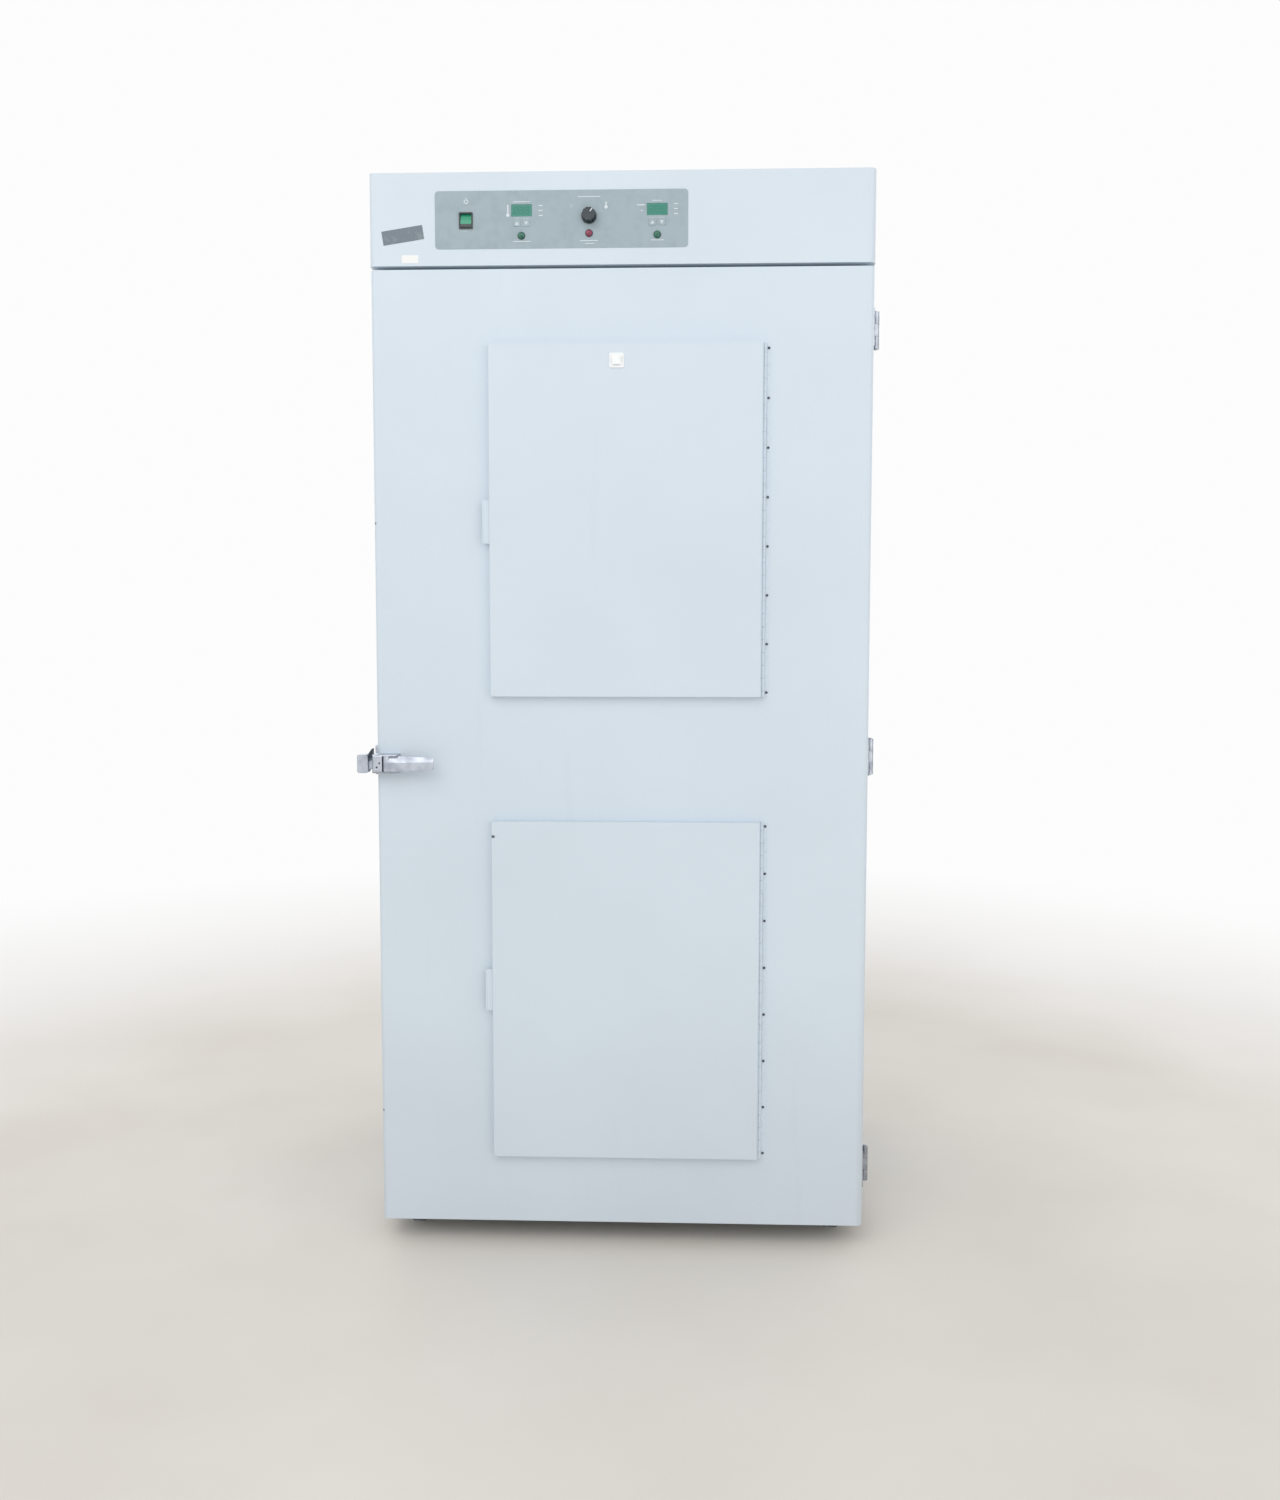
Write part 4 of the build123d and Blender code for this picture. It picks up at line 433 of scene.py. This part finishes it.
def board(name, colour, track):
    """Circuit board: solder mask with raised tracks on a square grid."""
    look = Look(name)
    tracks = look.node(
        "ShaderNodeTexBrick",
        "Fac",
        {"Vector": look.place, "Scale": 90.0, "Mortar Size": 0.06, "Mortar Smooth": 0.1},
    )
    speck = look.ramp(look.noise(scale=700, detail=3), low=0.4, high=0.6, start=0.0, end=0.3)
    look.set(Base_Color=look.blend(look.math("MAXIMUM", tracks, speck), colour, track))
    look.set(Roughness=look.ramp(speck, low=0.0, high=0.3, start=0.32, end=0.48), Coat_Weight=0.4)
    look.bump(tracks, distance=0.0001, strength=0.5)
    return look.material


def burnt(name, colour, shade):
    """Heater sheath: oxidised metal with blue and brown patches."""
    look = Look(name)
    scale_patches = look.noise(scale=40, detail=6)
    tone = look.blend(look.ramp(scale_patches, low=0.35, high=0.65), shade, colour)
    blue = look.ramp(look.noise(scale=16, detail=3), low=0.5, high=0.7, start=0.0, end=0.5)
    look.set(Base_Color=look.blend(blue, tone, screen(78, 84, 104)), Metallic=0.8)
    look.set(Roughness=look.ramp(scale_patches, low=0.3, high=0.7, start=0.45, end=0.65))
    look.bump(scale_patches, distance=0.0002, strength=0.5)
    return look.material


def ink(name, colour, shade):
    """Screen print: a flat ink film with slightly uneven cover."""
    look = Look(name)
    cover = look.ramp(look.noise(scale=1300, detail=3), low=0.35, high=0.65)
    look.set(Base_Color=look.blend(cover, shade, colour))
    look.set(Roughness=look.ramp(cover, low=0.0, high=1.0, start=0.5, end=0.62))
    look.bump(cover, distance=0.00001, strength=0.5)
    return look.material


def label(name, colour, shade, fleck):
    """A stuck label: plain, with specks, scuffs and lighter worn corners."""
    look = Look(name)
    specks = look.ramp(look.noise(scale=1100, detail=2), low=0.58, high=0.66, start=0.0, end=fleck)
    scuffs = look.ramp(look.noise(scale=70, detail=6), low=0.5, high=0.7, start=0.0, end=fleck)
    look.set(Base_Color=look.blend(look.math("MAXIMUM", specks, scuffs), colour, shade))
    look.set(Roughness=look.ramp(scuffs, low=0.0, high=1.0, start=0.45, end=0.7))
    look.bump(look.noise(scale=300, detail=4), distance=0.00006, strength=0.5)
    return look.material


def slot_looks():
    """One look for each material slot of the record."""
    casing = screen(218, 230, 240)
    casing_shade = screen(204, 214, 223)
    bright = screen(*steel)
    dull = screen(*steel_shade)
    plate = screen(176, 181, 189)
    plate_shade = screen(140, 146, 156)
    return {
        "painted_casing": paint("painted_casing", casing, casing_shade, chips=chip_places),
        "painted_leaf": piano_paint("painted_leaf", screen(216, 228, 238), screen(204, 215, 225)),
        "stainless": brushed("stainless_wall", bright, dull, grain=(700.0, 700.0, 9.0)),
        "galvanised": zinc("galvanised", screen(184, 190, 194), screen(146, 152, 158)),
        "mineral_wool": wool("mineral_wool", screen(214, 202, 160), screen(168, 152, 104)),
        "foot_steel": zinc("foot_steel", screen(176, 180, 184), screen(120, 124, 128), cell=500),
        "wheel_steel": brushed("wheel_steel", bright, dull, grain=(260.0, 260.0, 60.0)),
        "motor_paint": paint("motor_paint", screen(44, 47, 50), screen(74, 76, 78), rough=0.5),
        "element_sheath": burnt("element_sheath", screen(112, 104, 98), screen(64, 60, 58)),
        "probe_steel": brushed("probe_steel", bright, dull, grain=(400.0, 400.0, 30.0), rough=0.24),
        "relay_metal": brushed("relay_metal", screen(186, 188, 190), dull, grain=(30.0, 600.0, 600.0)),
        "panel_overlay": plastic("panel_overlay", screen(163, 180, 187), screen(156, 173, 180), rough=0.5),
        "display_green": lens("display_green", screen(34, 134, 115), screen(30, 126, 108)),
        "circuit_board": board("circuit_board", screen(28, 84, 54), screen(64, 130, 84)),
        "key_plastic": plastic("key_plastic", screen(166, 183, 190), screen(158, 175, 182), rough=0.45),
        # the pilot lamps are not lit; their faint emission is painted light
        "lamp_green": lens("lamp_green", screen(38, 122, 98), screen(14, 72, 58), painted_glow=0.04),
        "lamp_red": lens("lamp_red", screen(150, 52, 84), screen(92, 24, 48), painted_glow=0.03),
        "switch_black": plastic(
            "switch_black", screen(40, 46, 48), screen(58, 64, 66), rough=0.35, coat=0.2
        ),
        # the paddle's third colour is painted shade on its lower part
        "rocker_green": paddle(
            "rocker_green", screen(52, 170, 130), screen(32, 140, 106), screen(40, 52, 54)
        ),
        "thermostat_body": plastic("thermostat_body", screen(62, 58, 54), screen(84, 80, 74)),
        "knob_black": plastic("knob_black", screen(40, 52, 58), screen(62, 74, 80), rough=0.4, coat=0.15),
        "door_seal": plastic("door_seal", screen(190, 96, 74), screen(166, 80, 62), rough=0.6, depth=0.0002),
        "window_glass": glass("window_glass", screen(232, 246, 241)),
        "hinge_chrome": chrome("hinge_chrome", plate, plate_shade, rough=0.12),
        "pin_steel": brushed("pin_steel", bright, dull, grain=(500.0, 500.0, 40.0)),
        "catch_plastic": plastic("catch_plastic", screen(58, 58, 60), screen(82, 82, 84)),
        "tie_mount_nylon": plastic(
            "tie_mount_nylon", screen(250, 253, 253), screen(240, 243, 243), rough=0.35
        ),
        "latch_chrome": chrome("latch_chrome", screen(196, 201, 210), screen(168, 174, 186), rough=0.42),
        "strike_nylon": plastic("strike_nylon", screen(36, 46, 58), screen(60, 70, 82), rough=0.38),
        "stud_steel": zinc("stud_steel", screen(188, 190, 192), screen(130, 133, 136), cell=600),
        "gland_nylon": plastic("gland_nylon", screen(52, 52, 54), screen(76, 76, 78)),
    }


def round_edges():
    """A small bend radius on the folded edges of the painted sheets."""
    for name in rounded_nodes:
        node = frame["nodes"][name]
        weld = node.modifiers.new("weld", "WELD")
        weld.merge_threshold = edge_weld
        bevel = node.modifiers.new("bend", "BEVEL")
        bevel.width = edge_round
        bevel.segments = edge_steps
        bevel.limit_method = "ANGLE"
        bevel.angle_limit = edge_least_turn
        bevel.harden_normals = True


def dress_cad_nodes(looks):
    """Gives each CAD node the look of its slot, with the brushing across for level sheets."""
    across = brushed("stainless_level", screen(*steel), screen(*steel_shade), grain=(9.0, 700.0, 700.0))
    for part in frame["record"]["subparts"]:
        node = frame["nodes"][part["node"]]
        look = across if part["node"] in across_nodes else looks[part["material_slot"]]
        node.data.materials.clear()
        node.data.materials.append(look)


# Mesh helpers

def on_face(origin, outward, up, turn=0.0):
    """A place on a face: x to the right, y up and z out of the face."""
    out = Vector(outward)
    top = Vector(up)
    right = top.cross(out)
    axes = Matrix((right, top, out)).transposed().to_4x4()
    return Matrix.Translation(origin) @ axes @ Matrix.Rotation(turn, 4, "Z")


def front_place(x, y, z, turn=0.0):
    """A place on a face that looks forward."""
    return on_face((x, y, z), (0, -1, 0), (0, 0, 1), turn)


def ring(bm, place, radius, height, sides):
    """A ring of vertices round a place's axis."""
    points = []
    for index in range(sides):
        angle = 2 * math.pi * index / sides
        point = Vector((radius * math.cos(angle), radius * math.sin(angle), height))
        points.append(bm.verts.new(place @ point))
    return points


def join_rings(bm, lower, upper):
    """Faces between two rings of the same length."""
    count = len(lower)
    for index in range(count):
        after = (index + 1) % count
        bm.faces.new((lower[index], lower[after], upper[after], upper[index]))


def add_turned(bm, place, profile, sides):
    """A closed turned solid from radii and heights."""
    rings = [ring(bm, place, radius, height, sides) for radius, height in profile]
    for lower, upper in zip(rings, rings[1:]):
        join_rings(bm, lower, upper)
    bm.faces.new(list(reversed(rings[0])))
    bm.faces.new(rings[-1])


def add_band(bm, place, profile, sides):
    """A closed ring whose section is the profile."""
    rings = [ring(bm, place, radius, height, sides) for radius, height in profile]
    for lower, upper in zip(rings, rings[1:] + rings[:1]):
        join_rings(bm, lower, upper)


def add_prism(bm, place, outline, low, high):
    """A closed prism over an outline."""
    lower = [bm.verts.new(place @ Vector((x, y, low))) for x, y in outline]
    upper = [bm.verts.new(place @ Vector((x, y, high))) for x, y in outline]
    join_rings(bm, lower, upper)
    bm.faces.new(list(reversed(lower)))
    bm.faces.new(upper)


def cross_outline(reach, half):
    """The outline of a cross recess."""
    quarter = ((half, half), (reach, half), (reach, -half))
    points = []
    for turn in range(4):
        spin = Matrix.Rotation(-turn * math.pi / 2, 2)
        for point in quarter:
            points.append(spin @ Vector(point))
    return points


def add_screw(bm, place, radius):
    """A pan-head screw with a cross recess."""
    rings = [ring(bm, place, radius * r, radius * h, screw_sides) for r, h in screw_profile]
    for lower, upper in zip(rings, rings[1:]):
        join_rings(bm, lower, upper)
    bm.faces.new(list(reversed(rings[0])))
    top_height = radius * screw_profile[-1][1]
    floor_height = radius * screw_recess_floor
    outline = [p * radius for p in cross_outline(screw_recess_reach, screw_recess_half)]
    lip = [bm.verts.new(place @ Vector((x, y, top_height))) for x, y in outline]
    floor = [bm.verts.new(place @ Vector((x, y, floor_height))) for x, y in outline]
    join_rings(bm, lip, floor)
    bm.faces.new(floor)
    rim = [bm.edges.get((rings[-1][i], rings[-1][(i + 1) % screw_sides])) for i in range(screw_sides)]
    edge = [bm.edges.get((lip[i], lip[(i + 1) % len(lip)])) for i in range(len(lip))]
    bmesh.ops.triangle_fill(bm, use_beauty=True, edges=rim + edge)


def rounded_rectangle(width, height, radius, steps=4):
    """The outline of a rectangle with rounded corners."""
    points = []
    for turn, (side_x, side_y) in enumerate(((1, 1), (-1, 1), (-1, -1), (1, -1))):
        centre_x = side_x * (width / 2 - radius)
        centre_y = side_y * (height / 2 - radius)
        for step in range(steps + 1):
            angle = math.pi / 2 * (turn + step / steps)
            points.append((centre_x + radius * math.cos(angle), centre_y + radius * math.sin(angle)))
    return points


def moved(outline, x, y):
    """An outline shifted on its face."""
    return [(point_x + x, point_y + y) for point_x, point_y in outline]


def make_piece(name, fill, look, body, smooth=False):
    """Makes one mesh piece that rides on a body."""
    mesh = bpy.data.meshes.new(name)
    bm = bmesh.new()
    fill(bm)
    bmesh.ops.recalc_face_normals(bm, faces=bm.faces)
    for face in bm.faces:
        face.smooth = smooth
    bm.to_mesh(mesh)
    bm.free()
    mesh.materials.append(look)
    piece = bpy.data.objects.new(name, mesh)
    bpy.context.scene.collection.objects.link(piece)
    if smooth:
        mesh.set_sharp_from_angle(angle=math.radians(40))
    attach(piece, body)
    return piece


# Panel print

def panel_place():
    """The plane of the panel's print, with the record's x and z as its own."""
    return front_place(0.0, overlay_front, 0.0)


def bar(x, z, width, height):
    """A short printed line with rounded ends."""
    return moved(rounded_rectangle(width, height, bar_end_share * min(width, height), steps=3), x, z)


def thermometer(x, z, height, bulb, stem):
    """The outline of a thermometer mark: a stem over a round bulb."""
    points = []
    open_angle = math.asin(stem / bulb)
    steps = 16
    for step in range(steps + 1):
        angle = open_angle + (2 * math.pi - 2 * open_angle) * step / steps
        points.append((x - bulb * math.sin(angle), z - height / 2 + bulb + bulb * math.cos(angle)))
    top = z + height / 2 - stem
    tip_steps = 4
    for step in range(tip_steps + 1):
        angle = math.pi * step / tip_steps
        points.append((x + stem * math.cos(angle), top + stem * math.sin(angle)))
    return points


def power_ring(x, z, radius, stroke):
    """The outline of an open ring, for the mark over the switch."""
    outer = []
    inner = []
    steps = 20
    for step in range(steps + 1):
        angle = power_gap + (2 * math.pi - 2 * power_gap) * step / steps
        direction = Vector((math.sin(angle), math.cos(angle)))
        outer.append((x + radius * direction.x, z + radius * direction.y))
        inner.append((x + (radius - stroke) * direction.x, z + (radius - stroke) * direction.y))
    return outer + list(reversed(inner))


def clear_marks():
    """Outlines of the bright marks: signs, lines round the readouts and plain rules."""
    marks = [power_ring(power_x, power_z, power_radius, power_stroke), bar(*power_bar)]
    marks += [thermometer(*sign) for sign in thermometers]
    marks += [bar(*line) for line in clear_lines]
    for x, top in side_line_tops:
        for index in range(side_line_count):
            marks.append(bar(x, top - index * side_line_pitch, *side_line_size))
    return marks


def faint_marks():
    """Outlines of the paler marks: small rules over the keys, by the knob and under the switch."""
    marks = [bar(*line) for line in faint_lines]
    for x in readout_xs:
        marks.append(bar(x - key_spacing / 2, key_rule_z, *up_key_rule_size))
        marks.append(bar(x + key_spacing / 2, key_rule_z, *down_key_rule_size))
    return marks


def add_prints(bm, outlines):
    """Thin films of ink on the panel."""
    for outline in outlines:
        add_prism(bm, panel_place(), outline, 0.0, print_thickness)


def arrow(x, z, way):
    """The outline of an arrow head that points up or down."""
    half = key_mark_width / 2
    rise = way * key_mark_height / 2
    return [(x - half, z - rise), (x + half, z - rise), (x, z + rise)]


def key_marks(white):
    """An arrow head on each key, which rides on the key."""
    for side, x in zip(("left", "right"), readout_xs):
        for name, way in (("up", 1), ("down", -1)):
            mark_x = x - way * key_spacing / 2
            outline = arrow(mark_x, key_z, way)
            place = front_place(0.0, overlay_front - key_proud, 0.0)

            def fill(bm, place=place, outline=outline):
                add_prism(bm, place, outline, 0.0, print_thickness)

            make_piece(f"key_arrow_{name}_{side}", fill, white, f"{side}_{name}_key")


def segment_outlines(x, z):
    """The seven bars of one digit, slanted a little."""
    half_wide = digit_width / 2
    half_tall = digit_height / 2
    half_stroke = digit_stroke / 2
    level = half_wide - digit_gap
    upright = half_tall / 2 - digit_gap - half_stroke
    outlines = []
    for height in (half_tall, 0.0, -half_tall):
        outlines.append(
            [(-level, height), (-level + half_stroke, height + half_stroke),
             (level - half_stroke, height + half_stroke), (level, height),
             (level - half_stroke, height - half_stroke), (-level + half_stroke, height - half_stroke)]
        )
    for side in (-1, 1):
        for middle in (-half_tall / 2, half_tall / 2):
            centre = side * half_wide
            outlines.append(
                [(centre, middle - upright - half_stroke), (centre + half_stroke, middle - upright),
                 (centre + half_stroke, middle + upright), (centre, middle + upright + half_stroke),
                 (centre - half_stroke, middle + upright), (centre - half_stroke, middle - upright)]
            )
    return [[(x + px + digit_slant * py, z + py) for px, py in outline] for outline in outlines]


def add_digits(bm):
    """The unlit digits on the readouts."""
    place = front_place(0.0, overlay_front + readout_recess, 0.0)
    for readout_x in readout_xs:
        for index in range(digit_count):
            x = readout_x + (index - (digit_count - 1) / 2) * digit_pitch
            for outline in segment_outlines(x, readout_z):
                add_prism(bm, place, outline, 0.0, print_thickness)


def lamp_dome_profile():
    """Radii and heights of a lamp's domed lens."""
    profile = []
    for step in range(lamp_dome_steps):
        angle = math.pi / 2 * step / lamp_dome_steps
        profile.append((lamp_radius * math.cos(angle), lamp_dome_rise * math.sin(angle)))
    return profile


def add_lamp_rims(bm):
    """A dark rim round each lamp."""
    inner = lamp_radius + print_thickness
    outer = inner + lamp_rim_width
    profile = (
        (inner, 0.0),
        (outer, 0.0),
        (outer - lamp_rim_bevel, lamp_rim_height),
        (inner, lamp_rim_height),
    )
    for places in lamp_places.values():
        for x, z in places:
            add_band(bm, front_place(x, overlay_front, z), profile, lamp_sides)


def make_panel(looks):
    """Marks, digits, lamp rims and domes on the control panel, and the knob's pointer."""
    white = ink("ink_white", screen(226, 235, 239), screen(208, 219, 224))
    faint = ink("ink_faint", screen(196, 208, 213), screen(182, 196, 201))
    ghost = ink("digit_ghost", screen(32, 128, 109), screen(30, 122, 104))
    make_piece("panel_marks", lambda bm: add_prints(bm, clear_marks()), white, "cabinet")
    make_piece(
        "panel_faint_marks", lambda bm: add_prints(bm, faint_marks()), faint, "cabinet"
    )
    key_marks(white)
    make_piece("readout_digits", add_digits, ghost, "cabinet")
    make_piece("lamp_rims", add_lamp_rims, looks["switch_black"], "cabinet", smooth=True)
    for colour, places in lamp_places.items():

        def fill(bm, places=places):
            for x, z in places:
                place = front_place(x, overlay_front - lamp_lens_height, z)
                add_turned(bm, place, lamp_dome_profile(), lamp_sides)

        slot = f"lamp_{colour}"
        make_piece(f"lamp_domes_{colour}", fill, looks[slot], "cabinet", smooth=True)

    def knob_mark(bm):
        for front, low, high in (
            (knob_front, knob_mark_low, knob_mark_high),
            (knob_skirt_front, skirt_mark_low, skirt_mark_high),
        ):
            place = front_place(knob_x, front, knob_z, turn=-knob_pointer_angle)
            outline = bar(0.0, (low + high) / 2, knob_mark_width, high - low)
            add_prism(bm, place, outline, 0.0, print_thickness)

    make_piece("knob_mark", knob_mark, white, "knob")


# Labels

def make_labels():
    """A plain grey tag and a plain white sticker on the head."""
    grey = label("label_grey", screen(112, 124, 134), screen(160, 170, 178), fleck=0.5)
    white = label("label_white", screen(246, 247, 245), screen(226, 226, 222), fleck=0.3)
    for name, centre, size, turn, look in (
        ("head_tag", tag_centre, tag_size, tag_turn, grey),
        ("head_sticker", sticker_centre, sticker_size, 0.0, white),
    ):

        def fill(bm, centre=centre, size=size, turn=turn):
            place = front_place(centre[0], door_front, centre[1], turn)
            add_prism(bm, place, rounded_rectangle(*size, label_corner), 0.0, label_thickness)

        make_piece(name, fill, look, "cabinet")


# Screws

def screws(name, places, radius, look, body):
    """One piece with a screw at each place."""

    def fill(bm):
        for place in places:
            add_screw(bm, place, radius)

    make_piece(name, fill, look, body, smooth=True)


def spaced(low, high, count):
    """Evenly spaced values from low to high."""
    return [low + (high - low) * index / (count - 1) for index in range(count)]


def back_screw_places():
    """Screws round the back sheet."""
    side = half_width - back_screw_inset
    low = back_bottom + back_screw_inset
    high = head_top - back_screw_inset
    spots = [(x, z) for x in (-side, side) for z in spaced(low, high, back_screws_up)]
    spots += [(x, z) for z in (low, high) for x in spaced(-side, side, back_screws_across)[1:-1]]
    return [on_face((x, cabinet_back, z), (0, 1, 0), (0, 0, 1)) for x, z in spots]


def side_screw_places(side):
    """Screws of the top cover's lip through one side sheet, left for -1 and right for 1."""
    z = head_top - lid_screw_drop
    ys = spaced(*lid_screw_ys, lid_screws_a_side)
    return [on_face((side * half_width, y, z), (side, 0, 0), (0, 0, 1)) for y in ys]


def make_casing_screws(looks):
    """Screws of the back, the top cover and the door's hinges."""
    zinc_look = looks["stud_steel"]
    screws("back_screws", back_screw_places(), casing_screw_radius, zinc_look, "cabinet")
    lid = side_screw_places(-1) + side_screw_places(1)
    screws("lid_screws", lid, casing_screw_radius, zinc_look, "cabinet")
    chrome_look = looks["hinge_chrome"]
    for name, body in (("hinge_screws_cabinet", "cabinet"), ("hinge_screws_door", "main_door")):
        face_x, y = hinge_screw_columns[body]
        places = []
        for centre in hinge_zs:
            for step in (-1, 0, 1):
                z = centre + step * hinge_screw_rise
                places.append(on_face((face_x, y, z), (1, 0, 0), (0, 0, 1)))
        screws(name, places, hinge_screw_radius, chrome_look, body)


def make_door_details(looks):
    """Screws of the long hinges and rivets on the latch."""
    dark = plastic("screw_dark", screen(70, 76, 84), screen(104, 110, 118), rough=0.4)
    for name, bottom in cover_bottoms.items():
        places = []
        for index in range(leaf_screw_count):
            z = bottom + leaf_screw_offset + index * leaf_screw_pitch
            places.append(front_place(leaf_screw_x, leaf_front, z))
        screws(f"{name}_leaf_screws", places, leaf_screw_radius, dark, "main_door")
    rivets = [front_place(x, latch_front, z) for x, z in latch_rivets]
    screws("latch_rivets", rivets, latch_rivet_radius, dark, "main_door")


# Stage

def background_rays(tree):
    """1 for the rays that see the background: from the camera, by gloss and through glass."""
    path = tree.nodes.new("ShaderNodeLightPath")
    seen = path.outputs["Is Camera Ray"]
    for ray in ("Is Glossy Ray", "Is Transmission Ray"):
        either = tree.nodes.new("ShaderNodeMath")
        either.operation = "MAXIMUM"
        tree.links.new(seen, either.inputs[0])
        tree.links.new(path.outputs[ray], either.inputs[1])
        seen = either.outputs["Value"]
    return seen


def floor_look():
    """Pale floor that fades to the white background further off."""
    look = Look("studio_floor")
    away = look.node("ShaderNodeVectorMath", "Value", {0: look.place}, operation="LENGTH")
    fade = look.ramp(away, low=floor_fade_start, high=floor_fade_end)
    stain = look.ramp(look.noise(scale=1.6, detail=6), low=0.35, high=0.7)
    tone = look.blend(stain, screen(232, 227, 220), screen(227, 221, 213))
    look.set(Base_Color=look.blend(fade, tone, screen(*floor_far_colour)))
    look.set(Roughness=look.ramp(stain, low=0.0, high=1.0, start=0.6, end=0.75), Specular_IOR_Level=0.25)
    white = look.node("ShaderNodeEmission", "Emission", {"Strength": background_strength})
    share = look.math("MULTIPLY", fade, background_rays(look.tree))
    inputs = {"Fac": share, 1: look.shader.outputs["BSDF"], 2: white}
    mixed = look.node("ShaderNodeMixShader", "Shader", inputs)
    look.tree.links.new(mixed, look.output.inputs["Surface"])
    return look.material


def make_floor():
    """A round floor under the object."""
    mesh = bpy.data.meshes.new("floor")
    bm = bmesh.new()
    level = Matrix.Identity(4)
    centre = bm.verts.new((0.0, 0.0, 0.0))
    rings = []
    for index in range(floor_rings):
        rings.append(ring(bm, level, floor_radius * (index + 1) / floor_rings, 0.0, floor_sides))
    for lower, upper in zip(rings, rings[1:]):
        join_rings(bm, lower, upper)
    for index in range(floor_sides):
        bm.faces.new((centre, rings[0][index], rings[0][(index + 1) % floor_sides]))
    bmesh.ops.recalc_face_normals(bm, faces=bm.faces)
    bm.to_mesh(mesh)
    bm.free()
    mesh.materials.append(floor_look())
    floor = bpy.data.objects.new("floor", mesh)
    bpy.context.scene.collection.objects.link(floor)


def make_world():
    """Even pale light, and a white background for the camera, gloss and glass."""
    world = bpy.data.worlds.new("studio")
    bpy.context.scene.world = world
    world.use_nodes = True
    tree = world.node_tree
    tree.nodes.clear()
    light = tree.nodes.new("ShaderNodeBackground")
    light.inputs["Color"].default_value = pure_white
    light.inputs["Strength"].default_value = world_strength
    pale = tree.nodes.new("ShaderNodeBackground")
    pale.inputs["Color"].default_value = pure_white
    pale.inputs["Strength"].default_value = background_strength
    mixed = tree.nodes.new("ShaderNodeMixShader")
    tree.links.new(background_rays(tree), mixed.inputs["Fac"])
    tree.links.new(light.outputs["Background"], mixed.inputs[1])
    tree.links.new(pale.outputs["Background"], mixed.inputs[2])
    output = tree.nodes.new("ShaderNodeOutputWorld")
    tree.links.new(mixed.outputs["Shader"], output.inputs["Surface"])


def make_lamp(name, place, power):
    """A soft square lamp that looks at the object's middle."""
    light = bpy.data.lights.new(name, "AREA")
    light.shape = "SQUARE"
    light.size = lamp_size
    light.energy = power
    lamp = bpy.data.objects.new(name, light)
    lamp.location = place
    aim = Vector(lamp_aim) - Vector(place)
    lamp.rotation_mode = "QUATERNION"
    lamp.rotation_quaternion = aim.to_track_quat("-Z", "Y")
    lamp.visible_camera = False
    bpy.context.scene.collection.objects.link(lamp)


def make_camera():
    """The camera at the photograph's place, direction and viewing angle."""
    data = bpy.data.cameras.new("camera")
    data.sensor_width = sensor_width
    data.lens = sensor_width * photo_focal / photo_long_side
    camera = bpy.data.objects.new("camera", data)
    axes = Matrix((camera_right, camera_up, camera_back)).transposed().to_4x4()
    camera.matrix_world = Matrix.Translation(camera_place) @ axes
    bpy.context.scene.collection.objects.link(camera)
    bpy.context.scene.camera = camera


def make_stage():
    """Floor, light and camera."""
    make_floor()
    make_world()
    for name, (place, power) in lamp_setups.items():
        make_lamp(name, place, power)
    make_camera()
    bpy.context.scene.view_settings.view_transform = "Standard"


slot_materials = slot_looks()
dress_cad_nodes(slot_materials)
round_edges()
make_panel(slot_materials)
make_labels()
make_casing_screws(slot_materials)
make_door_details(slot_materials)
make_stage()
